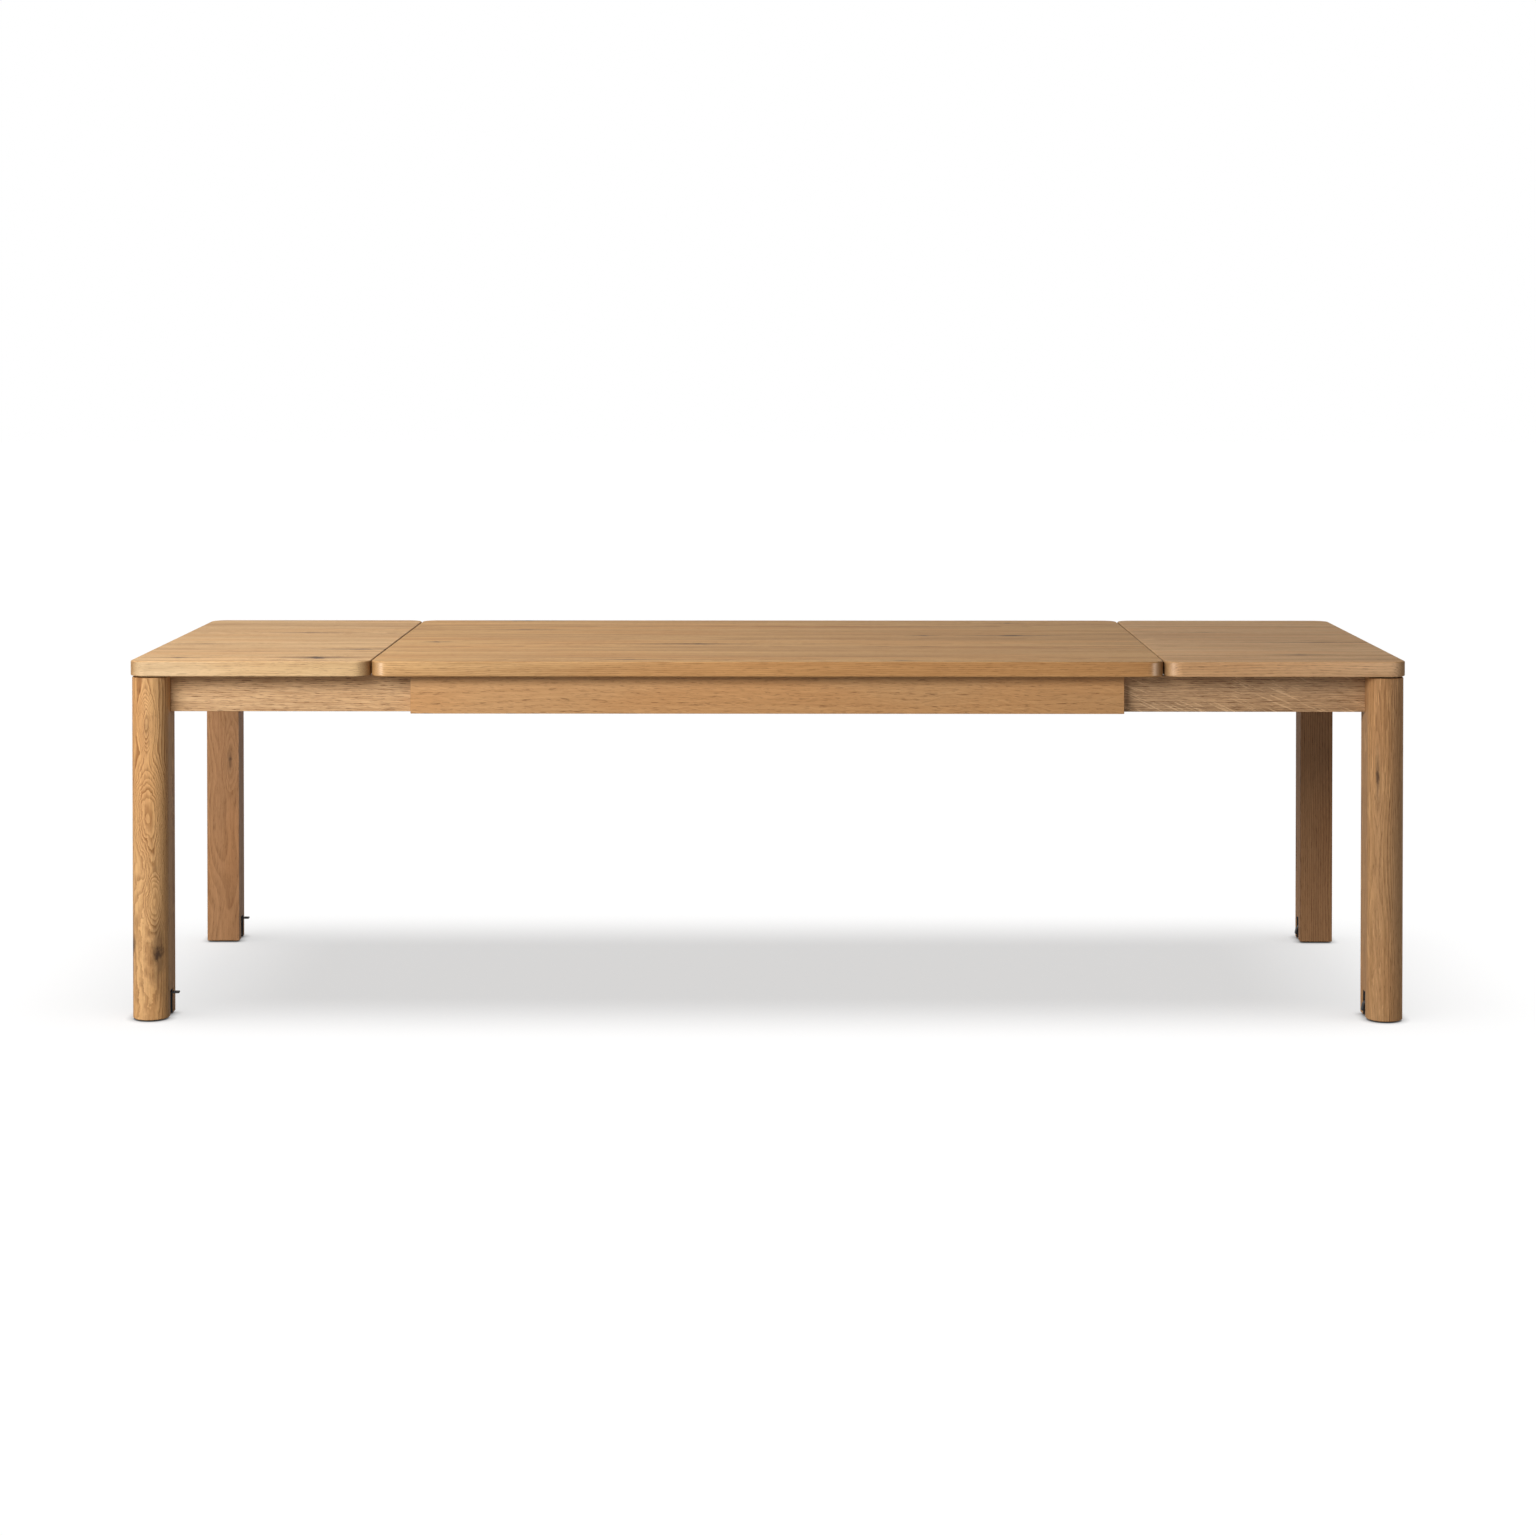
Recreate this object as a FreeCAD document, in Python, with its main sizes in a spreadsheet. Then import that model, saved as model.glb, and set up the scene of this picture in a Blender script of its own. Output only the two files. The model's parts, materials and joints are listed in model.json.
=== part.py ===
import FreeCAD, Part
import math
import os
import re
import Sketcher

# Extending dining table, shown pulled out with a leaf laid at each end.
# X runs along the table, the front faces -Y, Z is up and the origin is on the floor.

# Driving dimensions, all lengths in millimetres
SIZES = {
    # tops
    "table_height": 762,
    "table_depth": 1016,
    "centre_length": 1672,
    "leaf_length": 508,
    "leaf_gap": 2,
    "top_thickness": 32,
    "corner_radius": 35,
    "edge_round": 3,
    "leaf_dowel_pitch": 320,
    # legs
    "leg_width": 76,
    "leg_depth": 106,
    "leg_inset": 2,
    "leg_round": 2,
    "floor_gap": 3,
    # side rails, end aprons and centre aprons
    "frame_gap": 3,
    "rail_height": 77,
    "rail_thickness": 22,
    "rail_length": 744,
    "rail_step": 24,
    "rail_round": 1,
    "end_apron_inset": 15,
    "apron_thickness": 22,
    "apron_drop": 2,
    "apron_clearance": 2,
    "close_clearance": 3,
    "apron_dowel_pitch": 280,
    "tenon_length": 30,
    "tenon_thickness": 10,
    "tenon_shoulder": 8,
    # telescoping slides
    "slide_space": 21,
    "slide_inset": 10,
    "channel_height": 36,
    "channel_wall": 3,
    "channel_gap": 2,
    "runner_height": 22,
    "runner_thickness": 12,
    "runner_inset": 24,
    "runner_screw_inset": 60,
    "shoe_length": 30,
    "shoe_play": 0.3,
    "stop_length": 15,
    "stop_play": 0.3,
    "stop_gap": 0.5,
    # bearers under the centre top
    "guide_thickness": 28,
    "guide_lift": 6,
    "guide_screw_inset": 80,
    "bearer_width": 60,
    "bearer_height": 35,
    "bearer_pitch": 560,
    "bearer_tenon": 15,
    "spacer_width": 20,
    # corner blocks and leg bolts
    "block_depth": 50,
    "block_height": 60,
    "bolt_radius": 4,
    "bolt_bite": 24,
    "bolt_pitch": 36,
    "bolt_head_radius": 7,
    "bolt_head_height": 5,
    "washer_radius": 10,
    "washer_thickness": 2,
    # wood screws, dowels and leaf pads
    "screw_radius": 2,
    "screw_head_radius": 4,
    "screw_head_height": 2,
    "screw_bite": 16,
    "dowel_radius": 5,
    "dowel_length": 40,
    "dowel_play": 0.1,
    "pad_radius": 9,
    "pad_play": 0.2,
    "pad_inset": 60,
    # castors in the feet
    "slot_width": 30,
    "slot_height": 54,
    "slot_depth": 46,
    "slot_offset": 42,
    "housing_wall": 2,
    "housing_inset": 1,
    "wheel_radius": 17,
    "wheel_width": 18,
    "wheel_round": 2,
    "web_radius": 13,
    "web_thickness": 9,
    "hub_radius": 7,
    "axle_radius": 3,
    "axle_inset": 22,
    "running_play": 0.05,
    "side_play": 0.3,
    # brake levers
    "pivot_inset": 12,
    "pivot_height": 41,
    "pivot_radius": 2.5,
    "lever_hub_radius": 6.5,
    "brake_gap": 0.4,
    "bend_reach": 15,
    "bend_rise": 10,
    "lever_reach": 29,
    "lever_thickness": 3,
    "lever_width": 16,
    "lever_round": 3,
    # one overrun for every cut
    "overrun": 1,
}

LEVER_SWING = 77  # degrees between brake off and brake on
LEAF_DOWEL_STEPS = (-1, 0, 1)
APRON_DOWEL_STEPS = (-2, -1, 0, 1, 2)
TOP_SCREW_SHARES = (-1, -0.4, 0.4, 1)
CHANNEL_SCREW_SHARES = (-0.9, -0.3, 0.3, 0.9)
RUNNER_SCREW_SHARES = (0, 0.5, 1)
BOLT_SHARES = (-0.5, 0.5)
NEAR_SHARE = 0.999

# Places worked out from the driving dimensions
LEVELS = {
    "panel_under": "table_height - top_thickness",
    "frame_top": "panel_under - frame_gap",
    "rail_bottom": "frame_top - rail_height",
    "apron_bottom": "rail_bottom - apron_drop",
    "panel_middle": "table_height - top_thickness / 2",
    "half_centre": "centre_length / 2",
    "leaf_in": "half_centre + leaf_gap",
    "leaf_out": "leaf_in + leaf_length",
    "leg_out": "leaf_out - leg_inset",
    "leg_in": "leg_out - leg_width",
    "travel": "leaf_length + leaf_gap",
    "apron_half": "leg_in - travel - close_clearance",
    "rail_end": "leg_in - rail_length",
    "half_depth": "table_depth / 2",
    "leg_front": "half_depth - leg_inset",
    "leg_back": "leg_front - leg_depth",
    "leg_round_middle": "leg_front - leg_width / 2",
    "rail_in": "leg_back + rail_step",
    "rail_out": "rail_in + rail_thickness",
    "rail_middle": "rail_in + rail_thickness / 2",
    "apron_in": "rail_out + apron_clearance",
    "apron_out": "apron_in + apron_thickness",
    "apron_middle": "apron_in + apron_thickness / 2",
    "end_apron_out": "leg_out - end_apron_inset",
    "end_apron_in": "end_apron_out - rail_thickness",
    "guide_out": "rail_in - slide_space",
    "guide_in": "guide_out - guide_thickness",
    "guide_middle": "guide_out - guide_thickness / 2",
    "guide_bottom": "rail_bottom + guide_lift",
    "slide_half": "apron_half - slide_inset",
    "slide_middle": "frame_top - rail_height / 2",
    "channel_lip": "rail_in - channel_gap",
    "channel_floor": "guide_out + channel_wall",
    "channel_room": "channel_height / 2 - channel_wall",
    "runner_in": "rail_in - runner_thickness",
    "stop_in": "slide_half - stop_length",
    "block_end": "leg_back - block_depth",
    "block_middle": "(leg_in + end_apron_in) / 2",
    "slot_middle": "leg_back + slot_offset",
    "slot_top": "floor_gap + slot_height",
    "cheek_in": "slot_width / 2 - housing_wall",
    "axle_place": "leg_in + axle_inset",
    "pivot_place": "leg_in + pivot_inset",
    "pivot_to_axle": "sqrt(pow(axle_inset - pivot_inset; 2) + pow(pivot_height - wheel_radius; 2))",
    "brake_reach": "pivot_to_axle - wheel_radius - brake_gap",
}

doc = FreeCAD.newDocument("extending_table")
vector = FreeCAD.Vector
UP = vector(0, 0, 1)
ALONG = vector(1, 0, 0)
ACROSS = vector(0, 1, 0)
NODES = {}


# Sheet, levels and reading them

def make_sheet():
    sheet = doc.addObject("Spreadsheet::Sheet", "Sizes")
    for row, (name, length) in enumerate(SIZES.items(), start=1):
        sheet.set(f"A{row}", name)
        sheet.set(f"B{row}", str(length))
        sheet.setAlias(f"B{row}", name)
    doc.recompute()
    return sheet


def bound(text):
    """Write the home of each named size in front of it, as an expression needs."""
    def home(word):
        name = word[0]
        if name in SIZES:
            return "Sizes." + name
        if name in LEVELS:
            return "Levels." + name
        return name
    return re.sub(r"[a-z_]+", home, text)


def make_levels():
    levels = doc.addObject("App::VarSet", "Levels")
    for name, text in LEVELS.items():
        levels.addProperty("App::PropertyFloat", name, "Levels")
        levels.setExpression(name, bound(text))
    doc.recompute()
    return levels


def size(name):
    """A driving dimension or a level as a number."""
    if name in SIZES:
        return float(getattr(SHEET, name))
    return getattr(LEVEL_SET, name)


SHEET = make_sheet()
LEVEL_SET = make_levels()


def side(sign, low, high):
    """The span between two distances from the middle, on the side that sign gives."""
    if sign > 0:
        return (low, high)
    return (f"-({high})", f"-({low})")


def both(distance):
    return (f"-({distance})", distance)


def around(middle, width):
    return (f"({middle}) - ({width}) / 2", f"({middle}) + ({width}) / 2")


def place(thing, x=None, y=None, z=None):
    for axis, text in (("x", x), ("y", y), ("z", z)):
        if text is not None:
            thing.setExpression(f"Placement.Base.{axis}", bound(text))


# Shapes that several sub-parts are made of

def keep(label, thing):
    """Give an object its node name and list it for export."""
    thing.Label = label
    NODES[label] = thing
    return thing


def box(label, x, y, z):
    block = doc.addObject("Part::Box", label)
    for name, span in (("Length", x), ("Width", y), ("Height", z)):
        block.setExpression(name, bound(f"({span[1]}) - ({span[0]})"))
    place(block, x[0], y[0], z[0])
    return block


def cylinder_across(label, radius, x, y, z):
    """A cylinder that lies along Y, from the first to the second place in y."""
    rod = doc.addObject("Part::Cylinder", label)
    rod.setExpression("Radius", bound(radius))
    rod.setExpression("Height", bound(f"({y[1]}) - ({y[0]})"))
    rod.Placement = FreeCAD.Placement(vector(), FreeCAD.Rotation(UP, ACROSS))
    place(rod, x, y[0], z)
    return rod


def group(label, things):
    gathered = doc.addObject("Part::Compound", label)
    gathered.Links = things
    return gathered


def cut(label, base, tools):
    result = doc.addObject("Part::Cut", label)
    result.Base = base
    result.Tool = tools[0] if len(tools) == 1 else group(label + "_tools", tools)
    return result


def fuse(label, things):
    result = doc.addObject("Part::MultiFuse", label)
    result.Shapes = things
    return result


def solids(label, shapes):
    """A group of like fasteners, as separate solids of one object."""
    gathered = doc.addObject("Part::Feature", label)
    gathered.Shape = Part.makeCompound(shapes)
    gathered.Placement = FreeCAD.Placement()
    return gathered


def screw(head, direction, grip):
    """A countersunk wood screw whose head lies flush at a point."""
    length = grip + size("screw_bite")
    shank = Part.makeCylinder(size("screw_radius"), length, head, direction)
    cone = Part.makeCone(
        size("screw_head_radius"), size("screw_radius"), size("screw_head_height"), head, direction
    )
    return shank.fuse(cone).removeSplitter()


def origin_plane(body, role):
    for feature in body.Origin.OriginFeatures:
        if feature.Role == role:
            return feature
    raise ValueError(role)


def new_sketch(body, name, role):
    sketch = body.newObject("Sketcher::SketchObject", name)
    sketch.AttachmentSupport = (origin_plane(body, role), [""])
    sketch.MapMode = "FlatFace"
    return sketch


def fix_point(sketch, name, item, end, x=None, y=None):
    """Hold a sketch point at named distances from the sketch's origin."""
    point = sketch.getPoint(item, end)
    for kind, text, start in (("DistanceX", x, point.x), ("DistanceY", y, point.y)):
        if text is not None:
            number = sketch.addConstraint(Sketcher.Constraint(kind, -1, 1, item, end, start))
            label = f"{name}_{kind[-1].lower()}"
            sketch.renameConstraint(number, label)
            sketch.setExpression("Constraints." + label, bound(text))


def outline(sketch, points):
    """A closed outline of straight lines through points written as expressions."""
    count = len(points)
    for number in range(count):
        turn = 2 * math.pi * number / count
        onward = 2 * math.pi * (number + 1) / count
        start = vector(math.cos(turn), math.sin(turn), 0)
        finish = vector(math.cos(onward), math.sin(onward), 0)
        sketch.addGeometry(Part.LineSegment(start, finish), False)
    for number in range(count):
        sketch.addConstraint(Sketcher.Constraint("Coincident", number, 2, (number + 1) % count, 1))
    for number, (x, y) in enumerate(points):
        fix_point(sketch, f"corner{number}", number, 1, x, y)


def pad(body, sketch, height):
    feature = body.newObject("PartDesign::Pad", body.Name + "_pad")
    feature.Profile = sketch
    feature.setExpression("Length", bound(height))
    doc.recompute()
    return feature


def round_edges(body, base, names, radius):
    feature = body.newObject("PartDesign::Fillet", body.Name + "_round")
    feature.Base = (base, names)
    feature.setExpression("Radius", bound(radius))
    doc.recompute()
    return feature


def edge_names(feature, wanted):
    edges = enumerate(feature.Shape.Edges, start=1)
    return [f"Edge{number}" for number, edge in edges if wanted(edge)]


def stands(edge):
    """True for a straight upright edge."""
    ends = edge.Vertexes
    if len(ends) != 2:
        return False
    run = ends[1].Point - ends[0].Point
    return run.Length > 0 and abs(run.normalize().z) > math.cos(math.radians(1))


def lies_flat(edge):
    """True for an edge that keeps one height."""
    return edge.BoundBox.ZLength < size("edge_round") * (1 - NEAR_SHARE)


def corners(x, y):
    return [(x[0], y[0]), (x[1], y[0]), (x[1], y[1]), (x[0], y[1])]


def board(label, x, y, z):
    """A straight board with its edges eased."""
    body = doc.addObject("PartDesign::Body", label)
    sketch = new_sketch(body, label + "_plan", "XY_Plane")
    outline(sketch, corners(x, y))
    block = pad(body, sketch, f"({z[1]}) - ({z[0]})")
    round_edges(body, block, edge_names(block, lambda edge: True), "rail_round")
    place(body, z=z[0])
    return body


# Tops

def panel(label, x):
    """A top or leaf: rounded corners, eased edges."""
    body = doc.addObject("PartDesign::Body", label)
    sketch = new_sketch(body, label + "_plan", "XY_Plane")
    outline(sketch, corners(x, both("half_depth")))
    slab = pad(body, sketch, "top_thickness")
    slab = round_edges(body, slab, edge_names(slab, stands), "corner_radius")
    round_edges(body, slab, edge_names(slab, lies_flat), "edge_round")
    place(body, z="panel_under")
    return body


def leaf_dowels(label, sign, grow, reach):
    """Dowels along X between a leaf and the centre top, grown by a radial clearance."""
    half = size("dowel_length") / 2
    shapes = []
    for step in LEAF_DOWEL_STEPS:
        row = step * size("leaf_dowel_pitch")
        start = vector(sign * (size("leaf_in") - half - reach), row, size("panel_middle"))
        length = size("dowel_length") + reach
        shapes.append(Part.makeCylinder(size("dowel_radius") + grow, length, start, ALONG * sign))
    return solids(label, shapes)


def leaf(name, sign):
    blank = panel(name + "_leaf_blank", side(sign, "leaf_in", "leaf_out"))
    dowels = keep(name + "_leaf_dowels", leaf_dowels(name + "_leaf_dowels", sign, 0, 0))
    keep(name + "_leaf", cut(name + "_leaf", blank, [dowels]))
    pads = []
    for across in (-1, 1):
        for x in ("leaf_in + pad_inset", "leg_in - pad_inset"):
            disc = doc.addObject("Part::Cylinder", name + "_pad")
            disc.setExpression("Radius", bound("pad_radius"))
            disc.setExpression("Height", bound("frame_gap - pad_play"))
            place(disc, f"{sign} * ({x})", f"{across} * rail_middle", "frame_top + pad_play")
            pads.append(disc)
    keep(name + "_leaf_pads", group(name + "_leaf_pads", pads))


# Centre: top, aprons, guides and bearers

def apron_dowels():
    """Upright dowels that hold the centre aprons to the top."""
    half = size("dowel_length") / 2
    shapes = []
    for across in (-1, 1):
        for step in APRON_DOWEL_STEPS:
            foot = vector(
                step * size("apron_dowel_pitch"),
                across * size("apron_middle"),
                size("panel_under") - half,
            )
            length = half + size("top_thickness") / 2
            shapes.append(Part.makeCylinder(size("dowel_radius"), length, foot, UP))
    return keep("apron_dowels", solids("apron_dowels", shapes))


def guide_places(shares):
    reach = size("slide_half") - size("guide_screw_inset")
    return [reach * share for share in shares]


def top_screws():
    """Screws up through the guide rails into the top."""
    grip = size("panel_under") - size("guide_bottom")
    shapes = []
    for across in (-1, 1):
        for x in guide_places(TOP_SCREW_SHARES):
            head = vector(x, across * size("guide_middle"), size("guide_bottom"))
            shapes.append(screw(head, UP, grip))
    return keep("top_screws", solids("top_screws", shapes))


def channel_screws():
    """Screws through the slide channels into the guide rails."""
    shapes = []
    for across in (-1, 1):
        for x in guide_places(CHANNEL_SCREW_SHARES):
            head = vector(x, across * size("channel_floor"), size("slide_middle"))
            shapes.append(screw(head, ACROSS * -across, size("channel_wall")))
    return keep("channel_screws", solids("channel_screws", shapes))


def bearer(name, step):
    """A cross bearer with a stub tenon into each guide rail."""
    label = "cross_bearer_" + name
    x = around(f"{step} * bearer_pitch", "bearer_width")
    body = board(label + "_board", x, both("guide_in"), ("panel_under - bearer_height", "panel_under"))
    tenon = box(
        label + "_tenon",
        around(f"{step} * bearer_pitch", "bearer_width - 2 * tenon_shoulder"),
        both("guide_in + bearer_tenon"),
        ("panel_under - bearer_height + tenon_shoulder", "panel_under - tenon_shoulder"),
    )
    return keep(label, fuse(label, [body, tenon]))


def slide_channel(name, across, screws):
    label = "slide_channel_" + name
    outer = box(
        label + "_outer",
        both("slide_half"),
        side(across, "guide_out", "channel_lip"),
        around("slide_middle", "channel_height"),
    )
    inner = box(
        label + "_inner",
        both("slide_half + overrun"),
        side(across, "channel_floor", "channel_lip + overrun"),
        around("slide_middle", "2 * channel_room"),
    )
    keep(label, cut(label, outer, [inner, screws]))


def slide_stops():
    """Blocks in the channel mouths that stop the shoes and let the runner through."""
    blocks = []
    for along in (-1, 1):
        for across in (-1, 1):
            for up in (-1, 1):
                z = side(up, "runner_height / 2 + stop_gap", "channel_room")
                blocks.append(box(
                    "slide_stop",
                    side(along, "stop_in", "slide_half"),
                    side(across, "channel_floor", "channel_lip"),
                    (f"slide_middle + {z[0]}", f"slide_middle + {z[1]}"),
                ))
    keep("slide_stops", group("slide_stops", blocks))


def apron_spacers():
    """Blocks between each centre apron and its guide rail, above the channel."""
    blocks = []
    for across in (-1, 1):
        blocks.append(box(
            "apron_spacer",
            both("spacer_width / 2"),
            side(across, "guide_out", "apron_in"),
            ("slide_middle + channel_height / 2", "panel_under"),
        ))
    keep("apron_spacers", group("apron_spacers", blocks))


def centre():
    dowels = apron_dowels()
    upward = top_screws()
    inward = channel_screws()
    bearers = [bearer(name, step) for name, step in (("left", -1), ("middle", 0), ("right", 1))]
    for name, across in (("front", -1), ("back", 1)):
        label = "centre_apron_" + name
        y = side(across, "apron_in", "apron_out")
        blank = board(label + "_board", both("apron_half"), y, ("apron_bottom", "panel_under"))
        keep(label, cut(label, blank, [dowels]))
        label = "guide_rail_" + name
        y = side(across, "guide_in", "guide_out")
        blank = board(label + "_board", both("slide_half"), y, ("guide_bottom", "panel_under"))
        keep(label, cut(label, blank, bearers + [upward, inward]))
        slide_channel(name, across, inward)
    slide_stops()
    apron_spacers()
    blank = panel("centre_top_blank", both("half_centre"))
    sockets = []
    for name, sign in (("left", -1), ("right", 1)):
        label = name + "_dowel_sockets"
        sockets.append(leaf_dowels(label, sign, size("dowel_play"), size("overrun")))
    keep("centre_top", cut("centre_top", blank, sockets + [dowels, upward]))


# End frames: legs, rails, end apron and slides

def rail(label, sign, across, screws):
    """A side rail with a tenon into the leg."""
    x = side(sign, "rail_end", "leg_in")
    body = board(label + "_board", x, side(across, "rail_in", "rail_out"), ("rail_bottom", "frame_top"))
    tenon = box(
        label + "_tenon",
        side(sign, "leg_in - tenon_length", "leg_in + tenon_length"),
        around(f"{across} * rail_middle", "tenon_thickness"),
        ("rail_bottom + tenon_shoulder", "frame_top - tenon_shoulder"),
    )
    joined = fuse(label + "_joined", [body, tenon])
    return keep(label, cut(label, joined, [screws]))


def end_apron(label, sign):
    """The apron between the two legs of an end, with a tenon into each."""
    x = side(sign, "end_apron_in", "end_apron_out")
    body = board(label + "_board", x, both("leg_back"), ("rail_bottom", "frame_top"))
    tenon = box(
        label + "_tenon",
        around(f"{sign} * (end_apron_in + rail_thickness / 2)", "tenon_thickness"),
        both("leg_back + tenon_length"),
        ("rail_bottom + tenon_shoulder", "frame_top - tenon_shoulder"),
    )
    return keep(label, fuse(label, [body, tenon]))


def leg_blank(label, sign, across):
    """A D-shaped post: half round outwards, flat inwards."""
    body = doc.addObject("PartDesign::Body", label)
    sketch = new_sketch(body, label + "_plan", "XY_Plane")
    x_low, x_high = side(sign, "leg_in", "leg_out")
    left, right = sorted((sign * size("leg_in"), sign * size("leg_out")))
    flat = across * size("leg_back")
    middle = across * size("leg_round_middle")
    radius = size("leg_width") / 2
    hub = vector((left + right) / 2, middle, 0)
    turn = 0 if across > 0 else math.pi
    sketch.addGeometry(Part.LineSegment(vector(left, flat, 0), vector(right, flat, 0)), False)
    sketch.addGeometry(Part.LineSegment(vector(right, flat, 0), vector(right, middle, 0)), False)
    sketch.addGeometry(Part.LineSegment(vector(left, middle, 0), vector(left, flat, 0)), False)
    sketch.addGeometry(Part.ArcOfCircle(Part.Circle(hub, UP, radius), turn, turn + math.pi), False)
    right_end, left_end = (1, 2) if across > 0 else (2, 1)
    for constraint in (
        Sketcher.Constraint("Coincident", 0, 2, 1, 1),
        Sketcher.Constraint("Coincident", 2, 2, 0, 1),
        Sketcher.Constraint("Horizontal", 0),
        Sketcher.Constraint("Vertical", 1),
        Sketcher.Constraint("Vertical", 2),
        Sketcher.Constraint("Tangent", 1, 2, 3, right_end),
        Sketcher.Constraint("Tangent", 2, 1, 3, left_end),
    ):
        sketch.addConstraint(constraint)
    fix_point(sketch, "flat_left", 0, 1, x_low, f"{across} * leg_back")
    fix_point(sketch, "flat_right", 0, 2, x_high)
    fix_point(sketch, "round_middle", 3, 3, y=f"{across} * leg_round_middle")
    post = pad(body, sketch, "frame_top - floor_gap")
    round_edges(body, post, edge_names(post, lambda edge: not stands(edge)), "leg_round")
    place(body, z="floor_gap")
    return body


def leg_bolts(label, sign):
    """Bolts, each with its washer, through the corner blocks into the legs."""
    head_place = size("block_end") - size("washer_thickness")
    shapes = []
    for across in (-1, 1):
        outward = ACROSS * across
        for up in BOLT_SHARES:
            x = sign * size("block_middle")
            z = size("slide_middle") + up * size("bolt_pitch")
            seat = vector(x, across * size("block_end"), z)
            under_head = vector(x, across * head_place, z)
            length = size("block_depth") + size("bolt_bite")
            washer = Part.makeCylinder(
                size("washer_radius"), size("washer_thickness"), seat, outward * -1
            )
            head = Part.makeCylinder(
                size("bolt_head_radius"), size("bolt_head_height"), under_head, outward * -1
            )
            shank = Part.makeCylinder(size("bolt_radius"), length, seat, outward)
            shapes.append(shank.multiFuse([washer, head]).removeSplitter())
    return keep(label, solids(label, shapes))


def corner_blocks(label, sign, bolts):
    blocks = []
    for across in (-1, 1):
        blank = box(
            "corner_block_blank",
            side(sign, "leg_in", "end_apron_in"),
            side(across, "block_end", "leg_back"),
            around("slide_middle", "block_height"),
        )
        blocks.append(cut("corner_block", blank, [bolts]))
    keep(label, group(label, blocks))


def runner_screws(label, sign):
    """Screws through the runners into the side rails."""
    first = size("rail_end") + size("runner_screw_inset")
    last = size("leg_in") - size("runner_inset") - size("runner_screw_inset")
    grip = size("runner_thickness") - size("screw_radius")
    shapes = []
    for across in (-1, 1):
        for share in RUNNER_SCREW_SHARES:
            x = sign * (first + (last - first) * share)
            head = vector(x, across * size("runner_in"), size("slide_middle"))
            shapes.append(screw(head, ACROSS * across, grip))
    return keep(label, solids(label, shapes))


def runner(label, sign, across, screws):
    blank = box(
        label + "_blank",
        side(sign, "rail_end", "leg_in - runner_inset"),
        side(across, "runner_in", "rail_in"),
        around("slide_middle", "runner_height"),
    )
    return keep(label, cut(label, blank, [screws]))


def shoes(label, sign, runners):
    """Sliding shoes over each runner: one at its inner end, one against the stop."""
    pieces = []
    for across, bar in runners.items():
        inner = ("rail_end", "rail_end + shoe_length")
        outer = ("stop_in - stop_play - shoe_length", "stop_in - stop_play")
        for low, high in (inner, outer):
            blank = box(
                "shoe_blank",
                side(sign, low, high),
                side(across, "channel_floor + shoe_play", "rail_in"),
                around("slide_middle", "2 * (channel_room - shoe_play)"),
            )
            pocket = box(
                "shoe_pocket",
                side(sign, "rail_end - overrun", "leg_in"),
                side(across, "runner_in", "rail_in + overrun"),
                around("slide_middle", "runner_height"),
            )
            pieces.append(cut("shoe", blank, [pocket]))
    keep(label, group(label, pieces))


# Castors and brake levers in the feet

def castor_pins(label, sign):
    """The wheel axles and lever pivots, held in the cheeks of the housings."""
    pins = []
    for across in (-1, 1):
        y = around(f"{across} * slot_middle", "slot_width")
        axle = ("axle_radius", f"{sign} * axle_place", "wheel_radius")
        pivot = ("pivot_radius", f"{sign} * pivot_place", "pivot_height")
        for radius, x, z in (axle, pivot):
            pins.append(cylinder_across("castor_pin", radius, x, y, z))
    return keep(label, group(label, pins))


def castor_screws(label, sign):
    """One screw up through the roof of each housing."""
    shapes = []
    roof = size("slot_top") - size("housing_wall")
    for across in (-1, 1):
        x = sign * (size("leg_in") + size("slot_depth") - size("pivot_inset"))
        head = vector(x, across * size("slot_middle"), roof)
        shapes.append(screw(head, UP, size("housing_wall")))
    return keep(label, solids(label, shapes))


def castor_housings(label, sign, pins, screws):
    """Folded steel boxes, open below and towards the middle of the table."""
    boxes = []
    for across in (-1, 1):
        middle = f"{across} * slot_middle"
        outer = box(
            "housing_outer",
            side(sign, "leg_in + housing_inset", "leg_in + slot_depth"),
            around(middle, "slot_width"),
            ("floor_gap + housing_inset", "slot_top"),
        )
        inner = box(
            "housing_inner",
            side(sign, "leg_in - overrun", "leg_in + slot_depth - housing_wall"),
            around(middle, "2 * cheek_in"),
            ("floor_gap - overrun", "slot_top - housing_wall"),
        )
        boxes.append(cut("housing", outer, [inner, pins, screws]))
    keep(label, group(label, boxes))


def wheel(label, sign, across):
    """A turned wheel: tread, thinner web and a hub that fills the housing."""
    body = doc.addObject("PartDesign::Body", label)
    sketch = new_sketch(body, label + "_profile", "XY_Plane")
    bore = "axle_radius + running_play"
    hub = "cheek_in - side_play"
    steps = ((bore, hub), ("hub_radius", hub), ("hub_radius", "web_thickness / 2"),
             ("web_radius", "web_thickness / 2"), ("web_radius", "wheel_width / 2"),
             ("wheel_radius", "wheel_width / 2"))
    near = [(radius, f"-({half})") for radius, half in steps]
    outline(sketch, near + list(reversed(steps)))
    turned = body.newObject("PartDesign::Revolution", label + "_turned")
    turned.Profile = sketch
    turned.ReferenceAxis = (sketch, ["V_Axis"])
    doc.recompute()
    tread = edge_names(turned, on_tread)
    round_edges(body, turned, tread, "wheel_round")
    place(body, f"{sign} * axle_place", f"{across} * slot_middle", "wheel_radius")
    keep(label, body)


def on_tread(edge):
    return hasattr(edge.Curve, "Radius") and edge.Curve.Radius > size("web_radius") + size("wheel_round")


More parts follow.
